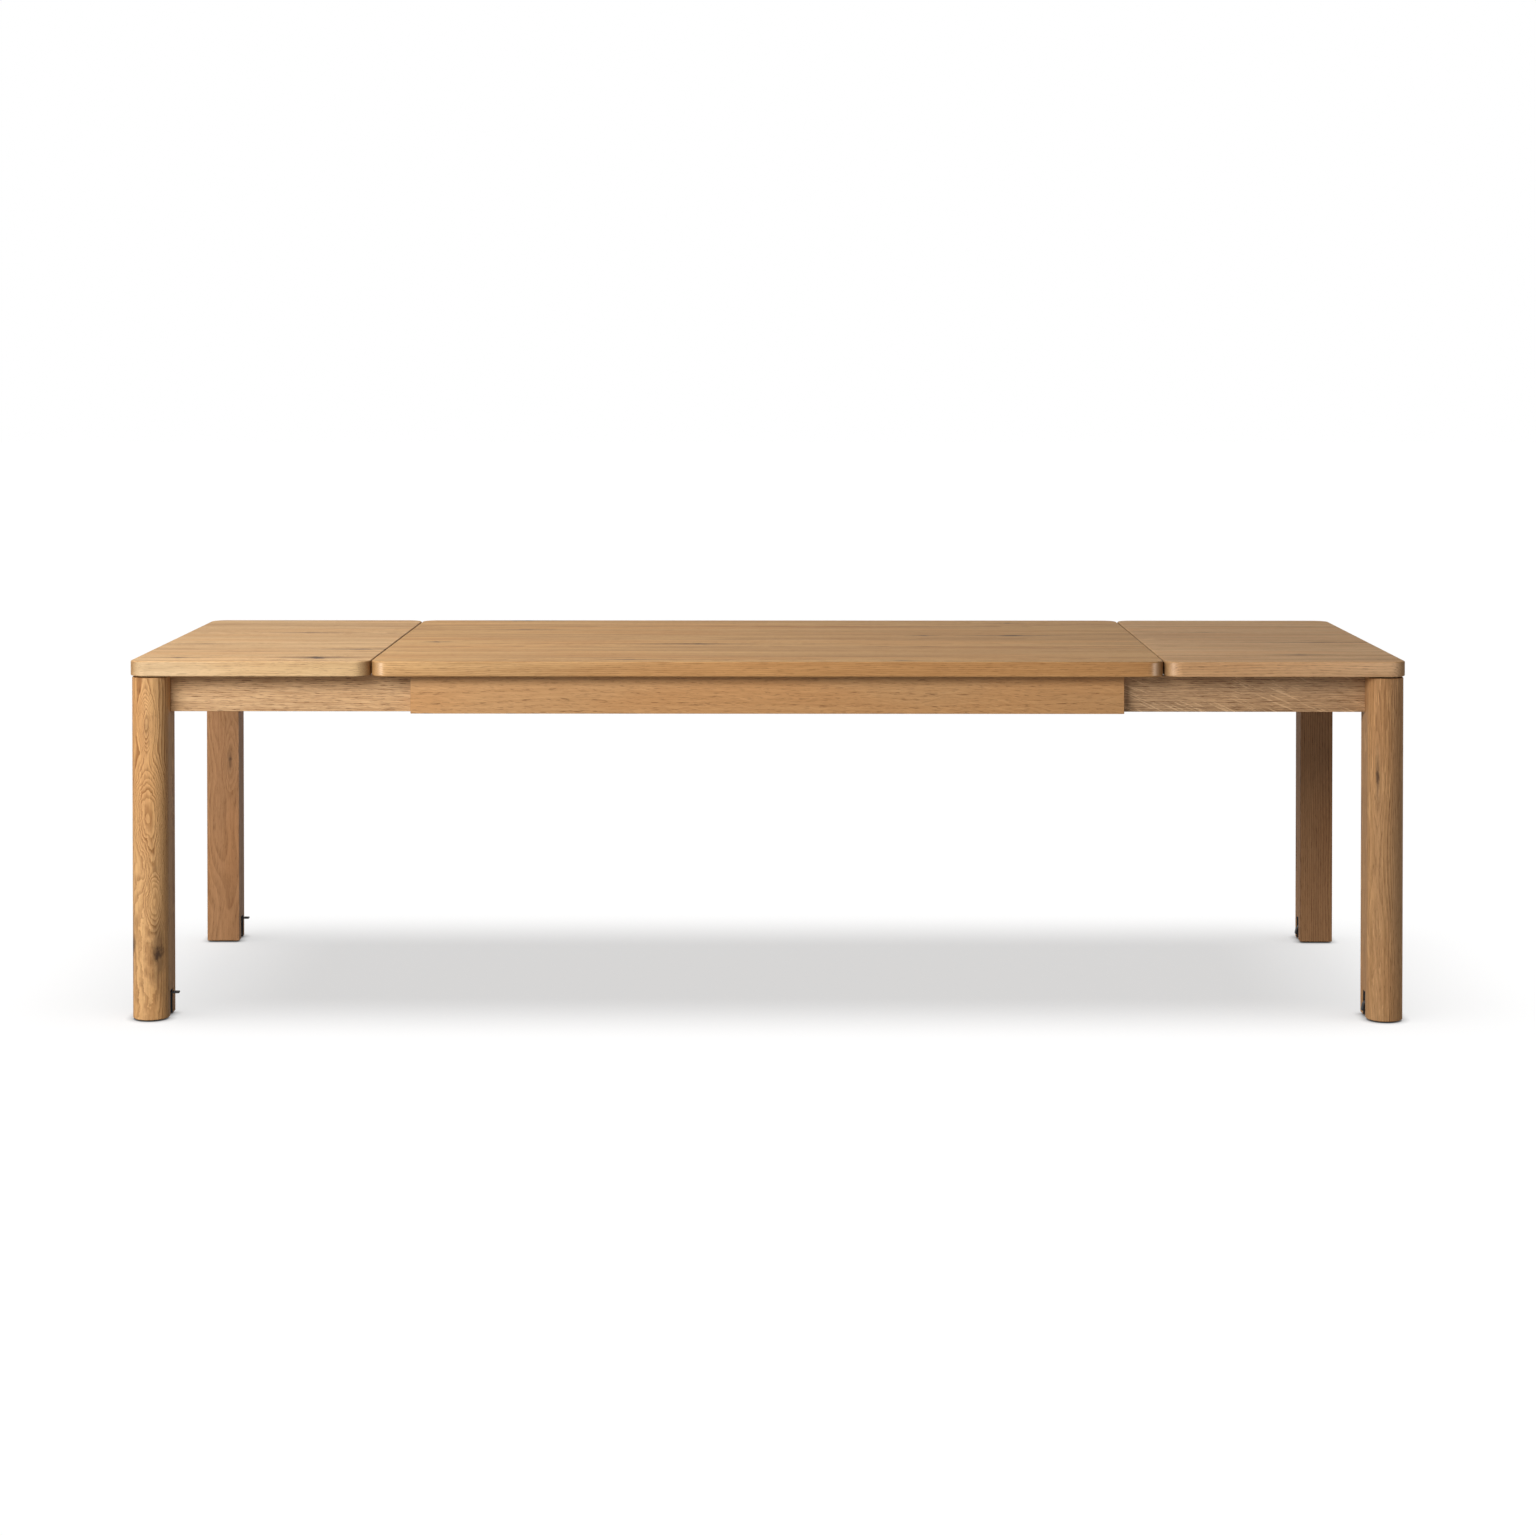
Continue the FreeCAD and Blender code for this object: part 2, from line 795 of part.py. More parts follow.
def lever(label, sign, across, pressed):
    """A brake lever: a bent foot plate, a round hub and a brake shoe beside the tread."""
    plate = doc.addObject("PartDesign::Body", label + "_plate")
    sketch = new_sketch(plate, label + "_side", "XZ_Plane")
    low = "bend_rise - lever_thickness / 2"
    high = "bend_rise + lever_thickness / 2"
    outline(sketch, [
        ("lever_thickness / 4", "-lever_thickness"),
        ("bend_reach", low),
        ("lever_reach", low),
        ("lever_reach", high),
        ("bend_reach - lever_thickness / 2", high),
        ("-lever_thickness / 4", "lever_thickness"),
    ])
    strip = pad(plate, sketch, "lever_width")
    tip = size("lever_reach") * NEAR_SHARE
    names = edge_names(strip, lambda edge: stands(edge) and edge.BoundBox.XMin > tip)
    round_edges(plate, strip, names, "lever_round")
    place(plate, y="lever_width / 2")
    hub = cylinder_across(label + "_hub", "lever_hub_radius", "0", both("cheek_in - side_play"), "0")
    shoe = brake_shoe(label + "_shoe")
    bore = cylinder_across(
        label + "_bore", "pivot_radius + running_play", "0", both("cheek_in + overrun"), "0"
    )
    solid = cut(label, fuse(label + "_solid", [plate, hub, shoe]), [bore])
    turned = FreeCAD.Rotation(UP, 0 if sign < 0 else 180)
    lowered = FreeCAD.Rotation(ACROSS, -sign * LEVER_SWING if pressed else 0)
    solid.Placement = FreeCAD.Placement(vector(), lowered * turned)
    place(solid, f"{sign} * pivot_place", f"{across} * slot_middle", "pivot_height")
    keep(label, solid)


def brake_shoe(label):
    """A lobe on the hub that meets the tread once the lever is pressed down."""
    toward = math.atan2(
        size("pivot_height") - size("wheel_radius"), size("axle_inset") - size("pivot_inset")
    )
    turn = math.pi + toward + math.radians(LEVER_SWING)
    lobe = doc.addObject("Part::Cylinder", label)
    lobe.setExpression("Radius", bound("lever_hub_radius - lever_thickness"))
    lobe.setExpression("Height", bound("lever_width"))
    lobe.Placement = FreeCAD.Placement(vector(), FreeCAD.Rotation(UP, ACROSS))
    shift = "(brake_reach - lever_hub_radius + lever_thickness)"
    place(lobe, f"{math.cos(turn)} * {shift}", "-lever_width / 2", f"{math.sin(turn)} * {shift}")
    return lobe


def foot(name, sign, across, pressed):
    wheel(name + "_wheel", sign, across)
    lever(name + "_brake_lever", sign, across, pressed)


def end_frame(name, sign, pressed):
    bolts = leg_bolts(name + "_leg_bolts", sign)
    pinned = runner_screws(name + "_runner_screws", sign)
    upward = castor_screws(name + "_castor_screws", sign)
    pins = castor_pins(name + "_castor_pins", sign)
    apron = end_apron(name + "_end_apron", sign)
    corner_blocks(name + "_corner_blocks", sign, bolts)
    castor_housings(name + "_castor_housings", sign, pins, upward)
    runners = {}
    for part, across in (("front", -1), ("back", 1)):
        corner = f"{name}_{part}"
        beam = rail(corner + "_rail", sign, across, pinned)
        runners[across] = runner(corner + "_runner", sign, across, pinned)
        slot = box(
            corner + "_slot",
            side(sign, "leg_in - overrun", "leg_in + slot_depth"),
            around(f"{across} * slot_middle", "slot_width"),
            ("floor_gap - overrun", "slot_top"),
        )
        blank = leg_blank(corner + "_leg_blank", sign, across)
        keep(corner + "_leg", cut(corner + "_leg", blank, [slot, beam, apron, bolts, upward]))
        foot(corner, sign, across, pressed)
    shoes(name + "_shoes", sign, runners)


# Build, check and export

def check_build():
    doc.recompute()
    for thing in doc.Objects:
        if "Invalid" in thing.State or "Error" in thing.State:
            raise RuntimeError(f"{thing.Label} did not build: {thing.State}")
    for label, thing in NODES.items():
        if thing.Shape.isNull() or not thing.Shape.isValid() or not thing.Shape.Solids:
            raise RuntimeError(f"{label} has no sound solid")


def export():
    os.makedirs("parts", exist_ok=True)
    for label, thing in NODES.items():
        thing.Shape.exportStep(f"parts/{label}.step")
        bounds = thing.Shape.BoundBox
        print(label, len(thing.Shape.Solids), "solids", bounds)


centre()
for end, direction, brake_on in (("left", -1, False), ("right", 1, True)):
    leaf(end, direction)
    end_frame(end, direction, brake_on)
check_build()
export()
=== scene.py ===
# %% Load the table
import json
import math

import bpy
from mathutils import Euler, Matrix, Vector


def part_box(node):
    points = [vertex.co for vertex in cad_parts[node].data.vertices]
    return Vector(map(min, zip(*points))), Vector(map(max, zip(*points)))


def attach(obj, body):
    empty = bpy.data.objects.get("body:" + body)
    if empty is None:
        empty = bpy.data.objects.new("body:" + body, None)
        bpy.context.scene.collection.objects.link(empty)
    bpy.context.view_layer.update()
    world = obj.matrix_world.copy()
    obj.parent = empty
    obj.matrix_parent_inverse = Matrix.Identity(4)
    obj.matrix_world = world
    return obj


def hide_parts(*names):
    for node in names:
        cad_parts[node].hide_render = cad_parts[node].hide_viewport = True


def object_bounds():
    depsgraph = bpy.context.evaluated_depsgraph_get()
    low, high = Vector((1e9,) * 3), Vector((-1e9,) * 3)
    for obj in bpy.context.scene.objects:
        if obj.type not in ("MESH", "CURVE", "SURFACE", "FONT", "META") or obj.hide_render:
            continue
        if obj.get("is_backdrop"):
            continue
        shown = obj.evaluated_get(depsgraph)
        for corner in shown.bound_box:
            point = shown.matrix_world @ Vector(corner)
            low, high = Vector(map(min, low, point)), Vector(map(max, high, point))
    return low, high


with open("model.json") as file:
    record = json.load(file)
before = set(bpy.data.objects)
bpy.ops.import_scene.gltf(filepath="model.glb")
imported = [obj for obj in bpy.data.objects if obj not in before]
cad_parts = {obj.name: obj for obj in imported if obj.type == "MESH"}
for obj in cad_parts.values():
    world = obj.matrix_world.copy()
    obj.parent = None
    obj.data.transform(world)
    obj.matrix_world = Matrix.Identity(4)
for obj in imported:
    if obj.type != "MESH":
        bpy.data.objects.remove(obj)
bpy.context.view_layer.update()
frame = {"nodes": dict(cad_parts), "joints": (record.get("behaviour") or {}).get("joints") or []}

nodes = frame["nodes"]
bpy.context.scene.view_settings.view_transform = "Standard"

# %% [markdown]
# ## Camera
# The picture is taken from almost straight in front, a little over seven metres away and 1.4 metres up.
# The legs stay upright in it although the camera looks down on the top, which a lens that is moved down
# inside its camera gives. A small tilt does part of that work here and a lens shift the rest, so that the
# table also stays in the frame when it is looked at from another side.

# %% Camera
CAMERA_PLACE = (0.0385, -7.2177, 1.4255)
CAMERA_TILT = math.radians(0.953)
CAMERA_TURN = math.radians(0.3112)
SENSOR_WIDTH, LENS_LENGTH, LENS_SHIFT = 36, 74.906, -0.24

bpy.ops.object.select_all(action="DESELECT")
bpy.ops.object.camera_add(location=CAMERA_PLACE, rotation=(math.pi / 2 - CAMERA_TILT, 0, CAMERA_TURN))
camera = bpy.context.object
camera.name = "camera"
camera.data.sensor_width = SENSOR_WIDTH
camera.data.lens = LENS_LENGTH
camera.data.shift_y = LENS_SHIFT
bpy.context.scene.camera = camera
print("camera:", round(LENS_LENGTH, 1), "mm lens,", CAMERA_PLACE)

# %% [markdown]
# ## Building nodes by name
# Every finish below is a net of shader nodes. Joining nodes by hand in code takes many lines, so a few
# small helpers do it: one sets or links a socket, one does a sum, one makes a noise and one eases a value
# between two limits. Colours are written as a picture program shows them and turned into linear light.

# %% Node helpers
SOCKETS = {"vector": "NodeSocketVector", "value": "NodeSocketFloat", "colour": "NodeSocketColor"}
MIX_FIRST, MIX_SECOND, MIX_RESULT = 6, 7, 2  # a Mix node's sockets for colours, by number


def srgb(red, green, blue):
    """A colour of 0 to 255 as linear light."""
    def linear(level):
        share = level / 255
        return share / 12.92 if share <= 0.04045 else ((share + 0.055) / 1.055) ** 2.4
    return (linear(red), linear(green), linear(blue), 1.0)


def feed(tree, socket, source):
    """Link a socket to another one, or set its value."""
    if isinstance(source, bpy.types.NodeSocket):
        tree.links.new(source, socket)
    else:
        socket.default_value = source


def calc(tree, operation, *sources, clamp=False):
    node = tree.nodes.new("ShaderNodeMath")
    node.operation = operation
    node.use_clamp = clamp
    for socket, source in zip(node.inputs, sources):
        feed(tree, socket, source)
    return node.outputs[0]


def vector_calc(tree, operation, *sources):
    node = tree.nodes.new("ShaderNodeVectorMath")
    node.operation = operation
    for socket, source in zip(node.inputs, sources):
        feed(tree, socket, source)
    return node.outputs["Value" if operation == "LENGTH" else "Vector"]


def noise(tree, place, scale, detail=2.0, roughness=0.5, result="Fac"):
    """Smooth noise, stretched by its own scale along each axis."""
    node = tree.nodes.new("ShaderNodeTexNoise")
    feed(tree, node.inputs["Vector"], vector_calc(tree, "MULTIPLY", place, scale))
    node.inputs["Scale"].default_value = 1.0
    node.inputs["Detail"].default_value = detail
    node.inputs["Roughness"].default_value = roughness
    return node.outputs[result]


def centred_noise(tree, place, scale, detail=2.0, roughness=0.5):
    """Noise about zero, so that it moves things one way as often as the other."""
    return calc(tree, "SUBTRACT", noise(tree, place, scale, detail, roughness), 0.5)


def white_noise(tree, number, result="Value"):
    """A random value for each whole number."""
    node = tree.nodes.new("ShaderNodeTexWhiteNoise")
    node.noise_dimensions = "1D"
    feed(tree, node.inputs["W"], number)
    return node.outputs[result]


def ease(tree, source, low, high, start=0.0, end=1.0):
    """From start to end, smoothly, while the source goes from low to high."""
    node = tree.nodes.new("ShaderNodeMapRange")
    node.interpolation_type = "SMOOTHSTEP"
    for socket, value in zip(node.inputs, (source, low, high, start, end)):
        feed(tree, socket, value)
    return node.outputs["Result"]


def mix(tree, share, first, second, blend="MIX"):
    node = tree.nodes.new("ShaderNodeMix")
    node.data_type = "RGBA"
    node.blend_type = blend
    feed(tree, node.inputs["Factor"], share)
    feed(tree, node.inputs[MIX_FIRST], first)
    feed(tree, node.inputs[MIX_SECOND], second)
    return node.outputs[MIX_RESULT]


def tint(tree, colour, factors):
    """A colour times a factor each for red, green and blue."""
    return mix(tree, 1.0, colour, (*factors, 1), "MULTIPLY")


def parts_of(tree, vector):
    """The X, Y and Z of a vector."""
    node = tree.nodes.new("ShaderNodeSeparateXYZ")
    feed(tree, node.inputs[0], vector)
    return node.outputs


def new_material(name):
    """A material, its nodes and its surface."""
    material = bpy.data.materials.new(name)
    material.use_nodes = True
    tree = material.node_tree
    return material, tree, tree.nodes["Principled BSDF"]


def dress(tree, surface, look, strength, rise):
    """Feed the colour, roughness and height of a look to a surface."""
    bump = tree.nodes.new("ShaderNodeBump")
    bump.inputs["Strength"].default_value = strength
    bump.inputs["Distance"].default_value = rise
    feed(tree, bump.inputs["Height"], look["Height"])
    feed(tree, surface.inputs["Base Color"], look["Color"])
    feed(tree, surface.inputs["Roughness"], look["Roughness"])
    feed(tree, surface.inputs["Normal"], bump.outputs[0])


def new_group(name, inputs, outputs):
    """An empty node group with named sockets, its entry's outputs and its result's inputs."""
    tree = bpy.data.node_groups.new(name, "ShaderNodeTree")
    for direction, sockets in (("INPUT", inputs), ("OUTPUT", outputs)):
        for title, kind in sockets.items():
            tree.interface.new_socket(name=title, in_out=direction, socket_type=SOCKETS[kind])
    entry = tree.nodes.new("NodeGroupInput")
    result = tree.nodes.new("NodeGroupOutput")
    return tree, entry.outputs, result.inputs


def use_group(tree, group, **sources):
    """Place a group and feed its inputs, whose names are written here with _ for a space."""
    node = tree.nodes.new("ShaderNodeGroup")
    node.node_tree = group
    for title, source in sources.items():
        feed(tree, node.inputs[title.replace("_", " ")], source)
    return node.outputs


print("helpers ready for", len(SOCKETS), "kinds of socket")

# %% [markdown]
# ## Floor
# The table stands on a white sweep. It could be lit until it burns out, but then the oak would be too
# bright as well. So the floor glows a little where the camera sees it, and it throws back less light
# than it seems to have, which keeps the inner sides of the legs dark. Close under the legs the glow is
# darkened by ambient occlusion, a painted contact shadow.

# %% World and floor
AMBIENT = 0.11
FLOOR_SIZE = 80
FLOOR_SHADE = 0.335
FLOOR_GLOW = 0.645
FLOOR_BOUNCE = 0.30
CONTACT_SHADE_REACH = 0.02
WHITE = (1, 1, 1, 1)


def seen_directly(tree):
    """1 for rays that end in the camera's view, by a mirror or glass too, and 0 for the rest."""
    rays = tree.nodes.new("ShaderNodeLightPath").outputs
    seen = calc(tree, "ADD", rays["Is Camera Ray"], rays["Is Glossy Ray"])
    return calc(tree, "ADD", seen, rays["Is Transmission Ray"], clamp=True)


world = bpy.data.worlds.new("studio")
world.use_nodes = True
bpy.context.scene.world = world
sky = world.node_tree
backdrop = sky.nodes["Background"]
backdrop.inputs["Color"].default_value = WHITE
feed(sky, backdrop.inputs["Strength"], ease(sky, seen_directly(sky), 0, 1, AMBIENT, 1.0))

bpy.ops.object.select_all(action="DESELECT")
bpy.ops.mesh.primitive_plane_add(size=FLOOR_SIZE)
floor = bpy.context.object
floor.name = "floor"
floor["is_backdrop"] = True
sweep, paint, surface = new_material("white_sweep")
seen = seen_directly(paint)
grey = paint.nodes.new("ShaderNodeCombineColor")
for socket in grey.inputs:
    feed(paint, socket, ease(paint, seen, 0, 1, FLOOR_BOUNCE, FLOOR_SHADE))
feed(paint, surface.inputs["Base Color"], grey.outputs["Color"])
surface.inputs["Roughness"].default_value = 1.0
surface.inputs["Specular IOR Level"].default_value = 0.0
surface.inputs["Emission Color"].default_value = WHITE
# Ambient occlusion darkens the floor's glow close under the legs: a painted contact shadow.
painted_contact_shade = paint.nodes.new("ShaderNodeAmbientOcclusion")
painted_contact_shade.inputs["Distance"].default_value = CONTACT_SHADE_REACH
glow_with_painted_shade = calc(paint, "MULTIPLY", ease(paint, seen, 0, 1, 0.0, FLOOR_GLOW), painted_contact_shade.outputs["AO"])
feed(paint, surface.inputs["Emission Strength"], glow_with_painted_shade)
floor.data.materials.append(sweep)
print("floor:", FLOOR_SIZE, "m wide, ambient light", AMBIENT)

# %% [markdown]
# ## Lamps
# Soft lamps light the oak: a large one at the front left, which makes the left end the brightest, a high
# one over the left half for the tops, and a weak strip at the right. Two more only show as glints in the
# rounded edges. A broad light from above draws the soft even shadow under the table. It falls on the
# floor alone, and the others leave the floor out, because no lamp is strong enough for one and weak
# enough for the other.

# %% Lamps
LAMPS = {
    # place, what it points at, width and height in metres, watts
    "key_front": ((-2.4, -4.6, 2.6), (-0.6, -0.3, 0.5), (2.6, 1.8), 165),
    "key_left": ((-3.2, -2.6, 1.7), (-0.8, -0.4, 0.5), (1.8, 1.4), 55),
    "high_left": ((-1.6, -0.3, 3.2), (-0.7, -0.1, 0.6), (2.4, 1.6), 44),
    "right_strip": ((3.2, -4.2, 2.2), (0.8, -0.4, 0.6), (0.6, 1.6), 8),
}
GLINTS = {(-4.0, -3.7, 0.5): 200, (4.4, -3.3, 0.5): 165}  # places and watts
GLINT_AIM, GLINT_SIZE, GLINT_COLOUR = (0, -0.4, 0.74), 1.5, (1.0, 0.90, 0.76)
SUN_HEIGHT, SUN_LEANS, SUN_FRONT = 4, (-0.7, 0.6), -0.28
SUN_STRENGTH = math.pi / len(SUN_LEANS)
SUN_SPREAD = math.radians(32)

not_floor = bpy.data.collections.new("all_but_floor")
not_floor.objects.link(floor)
not_floor.collection_objects[0].light_linking.link_state = "EXCLUDE"
only_floor = bpy.data.collections.new("floor_only")
only_floor.objects.link(floor)


def new_lamp(name, kind, place, aim, strength, receivers):
    bpy.ops.object.select_all(action="DESELECT")
    bpy.ops.object.light_add(type=kind, location=place)
    lamp = bpy.context.object
    lamp.name = name
    lamp.rotation_euler = (Vector(aim) - Vector(place)).to_track_quat("-Z", "Y").to_euler()
    lamp.data.energy = strength
    lamp.visible_camera = False
    lamp.light_linking.receiver_collection = receivers
    return lamp


for lamp_name, (place, aim, size, watts) in LAMPS.items():
    lamp = new_lamp(lamp_name, "AREA", place, aim, watts, not_floor)
    lamp.data.shape = "RECTANGLE"
    lamp.data.size, lamp.data.size_y = size
for lean in SUN_LEANS:
    lamp = new_lamp("floor_sun", "SUN", (lean, SUN_FRONT, SUN_HEIGHT), (0, 0, 0), SUN_STRENGTH, only_floor)
    lamp.data.angle = SUN_SPREAD
for place, watts in GLINTS.items():
    lamp = new_lamp("edge_glint", "AREA", place, GLINT_AIM, watts, not_floor)
    lamp.data.size = GLINT_SIZE
    lamp.data.color = GLINT_COLOUR
    lamp.visible_diffuse = False
print("lamps:", ", ".join(LAMPS), "with", len(SUN_LEANS), "over the floor and", len(GLINTS), "for glints")

# %% [markdown]
# ## Growth rings
# Oak is a solid material, so its figure is one pattern in space and every face of a board cuts through
# it. The pattern starts with the growth rings: shells round the heart of the tree, swayed by noise, which
# a flat face cuts into arches and an upright one into straight lines. Painting a picture on each face
# would be simpler, but it would not run on round the edges.

# %% Growth rings
RIPPLE_SCALE, RIPPLE_SHARE = (11, 60, 60), 0.07
LATE_WOOD = 0.15, 0.90  # where in a year's growth the wood starts to darken, and where it is darkest
YEAR_LEAST, YEAR_SPREAD = 0.4, 0.6

rings, entry, result = new_group(
    "Growth rings",
    {"Place": "vector", "Spacing": "value", "Swirl": "vector", "Sway": "value", "Bend": "value"},
    {"Ring": "value"},
)
broad = centred_noise(rings, entry["Place"], entry["Swirl"], 1.5)
ripple = centred_noise(rings, entry["Place"], RIPPLE_SCALE, 3)
sway = calc(rings, "MULTIPLY_ADD", ripple, RIPPLE_SHARE, broad)
radius = vector_calc(rings, "LENGTH", vector_calc(rings, "MULTIPLY", entry["Place"], (0, 1, 1)))
radius = calc(rings, "MULTIPLY_ADD", sway, entry["Sway"], radius)
radius = calc(rings, "ADD", radius, entry["Bend"])
count = calc(rings, "DIVIDE", radius, entry["Spacing"])
tooth = calc(rings, "FRACT", count)
rise = ease(rings, tooth, *LATE_WOOD)
fall = ease(rings, tooth, LATE_WOOD[1], 1.0, 1.0, 0.0)
year = white_noise(rings, calc(rings, "FLOOR", count))
depth = calc(rings, "MULTIPLY_ADD", year, YEAR_SPREAD, YEAR_LEAST)
feed(rings, result["Ring"], calc(rings, "MULTIPLY", calc(rings, "MULTIPLY", rise, fall), depth))
print("group:", rings.name)

# %% [markdown]
# ## Knots
# A knot is the foot of a branch: a dark torn spot with a tail along the grain, and the rings flow round
# it. Noise would put knots anywhere, so each one is given a place, and the group says how dark it is
# and how far it pushes the rings.

# %% Knots
TEAR_SCALE, TEAR_SIZE = (40, 60, 60), (1.6, 1.2, 1.2)
SPOT_EDGE = 0.15, 1.0
TAIL_SHAPE, TAIL_EDGE, TAIL_DEPTH = (0.3, 1.3, 1.0), (0.1, 1.1), 0.65
BEND_EDGE = 0.2, 3.0

knot, entry, result = new_group(
    "Knot",
    {"Place": "vector", "Middle": "vector", "Reach": "vector", "Depth": "value", "Lift": "value"},
    {"Core": "value", "Bend": "value"},
)
away = vector_calc(knot, "SUBTRACT", entry["Place"], entry["Middle"])
away = vector_calc(knot, "DIVIDE", away, entry["Reach"])
tear = noise(knot, entry["Place"], TEAR_SCALE, 3, 0.6, "Color")
tear = vector_calc(knot, "SUBTRACT", tear, (0.5, 0.5, 0.5))
away = vector_calc(knot, "ADD", away, vector_calc(knot, "MULTIPLY", tear, TEAR_SIZE))
spot = ease(knot, vector_calc(knot, "LENGTH", away), *SPOT_EDGE, 1.0, 0.0)
drawn = vector_calc(knot, "LENGTH", vector_calc(knot, "MULTIPLY", away, TAIL_SHAPE))
tail = ease(knot, drawn, *TAIL_EDGE, TAIL_DEPTH, 0.0)
core = calc(knot, "MULTIPLY", calc(knot, "MAXIMUM", spot, tail), entry["Depth"])
near = ease(knot, drawn, *BEND_EDGE, 1.0, 0.0)
feed(knot, result["Core"], core)
feed(knot, result["Bend"], calc(knot, "MULTIPLY", near, entry["Lift"]))
print("group:", knot.name)

# %% [markdown]
# ## Staves and ray flecks
# A top is glued from staves. They could be boards of their own, but they are flush, so the pattern is cut
# into rows instead, and each row takes a random place in the tree. The rays of oak show as pale flecks:
# short streaks in clusters, at a slant to the grain.

# %% Staves and ray flecks
SEED_STEP, TONE_STEP = 17.0, 0.37  # keep the random values of two tops, and of place and tone, apart
STAVE_SHIFTS = (7, 0.16, 0.10)     # how far apart in the tree two staves may come from, in metres
FLECK_SCALE, FLECK_EDGE = (15, 40, 330), (0.575, 0.64)
CLUSTER_SCALE, CLUSTER_EDGE = (3.5, 20, 12), (0.38, 0.58)

staves, entry, result = new_group(
    "Staves",
    {"Place": "vector", "Width": "value", "Seed": "value"},
    {"Place": "vector", "Tone": "value"},
)
spot = parts_of(staves, entry["Place"])
row = calc(staves, "ADD", calc(staves, "DIVIDE", spot["Y"], entry["Width"]), entry["Seed"])
number = calc(staves, "FLOOR", row)
across = calc(staves, "SUBTRACT", calc(staves, "FRACT", row), 0.5)
across = calc(staves, "MULTIPLY", across, entry["Width"])
turned = calc(staves, "MULTIPLY_ADD", entry["Seed"], SEED_STEP, number)
chance = vector_calc(staves, "SUBTRACT", white_noise(staves, turned, "Color"), (0.5, 0.5, 0.0))
local = staves.nodes.new("ShaderNodeCombineXYZ")
for axis, source in {"X": spot["X"], "Y": across, "Z": spot["Z"]}.items():
    feed(staves, local.inputs[axis], source)
shift = vector_calc(staves, "MULTIPLY", chance, STAVE_SHIFTS)
feed(staves, result["Place"], vector_calc(staves, "ADD", local.outputs[0], shift))
feed(staves, result["Tone"], white_noise(staves, calc(staves, "ADD", turned, TONE_STEP)))

flecks, entry, result = new_group("Ray flecks", {"Place": "vector", "Slope": "value"}, {"Fleck": "value"})
slant = flecks.nodes.new("ShaderNodeVectorRotate")
slant.rotation_type = "Y_AXIS"
feed(flecks, slant.inputs["Vector"], entry["Place"])
feed(flecks, slant.inputs["Angle"], entry["Slope"])
streak = ease(flecks, noise(flecks, slant.outputs[0], FLECK_SCALE), *FLECK_EDGE)
cluster = ease(flecks, noise(flecks, entry["Place"], CLUSTER_SCALE, 1), *CLUSTER_EDGE)
feed(flecks, result["Fleck"], calc(flecks, "MULTIPLY", streak, cluster))
print("groups:", staves.name, flecks.name)

# %% [markdown]
# ## Oak
# One group mixes light and dark oak by rings, long streaks, fine fibres and patches, and lays flecks,
# pores, end grain and knots over them. Each board could have nodes of its own, but with a shared group a
# change to the wood is made once.

# %% Oak group
PATCH_SCALE, STREAK_SCALE, FIBRE_SCALE = (0.9, 5, 5), (1.1, 20, 20), (18, 280, 280)
PORE_SCALE, PORE_EDGE, PORE_BROWN = (55, 620, 620), (0.53, 0.66), srgb(96, 62, 36)
PORE_LEAST, PORE_RINGS = 0.3, 0.7  # the pores' strength between the rings, and what the rings add
WARM_SCALE, WARM_EDGE, WARM_TINT = (1.7, 11, 11), (0.42, 0.66), (1.03, 0.975, 0.91)
FLECK_TINT, FLECK_LIFT, FLECK_SHARE = (1.08, 1.14, 1.20), 0.5, 0.7
END_TINT, END_FADE = (0.62, 0.58, 0.53), 0.8
BASE_DARK, PATCH_DARK = 0.30, 0.35
BASE_DULL, PORE_DULL, FIBRE_DULL = 0.62, 0.15, 0.15
PORE_SINK, RING_SINK = 0.8, 0.2

oak, entry, result = new_group(
    "Oak",
    {
        "Place": "vector", "Spacing": "value", "Swirl": "vector", "Sway": "value", "Bend": "value",
        "Tone": "value", "Rings": "value", "Streaks": "value", "Fibres": "value", "Pores": "value",
        "Knot": "value", "Fleck": "value", "End": "value",
        "Light": "colour", "Dark": "colour", "Knot colour": "colour",
    },
    {"Color": "colour", "Roughness": "value", "Height": "value"},
)
here = entry["Place"]
ring_inputs = {title: entry[title] for title in ("Place", "Spacing", "Swirl", "Sway", "Bend")}
ring = use_group(oak, rings, **ring_inputs)["Ring"]
ring = calc(oak, "MULTIPLY", ring, calc(oak, "MULTIPLY_ADD", entry["End"], -END_FADE, 1.0))
patch = centred_noise(oak, here, PATCH_SCALE)
streak = centred_noise(oak, here, STREAK_SCALE, 5, 0.65)
fibre = centred_noise(oak, here, FIBRE_SCALE, 4, 0.7)
pore = ease(oak, noise(oak, here, PORE_SCALE), *PORE_EDGE)
pore = calc(oak, "MULTIPLY", pore, calc(oak, "MULTIPLY_ADD", ring, PORE_RINGS, PORE_LEAST))

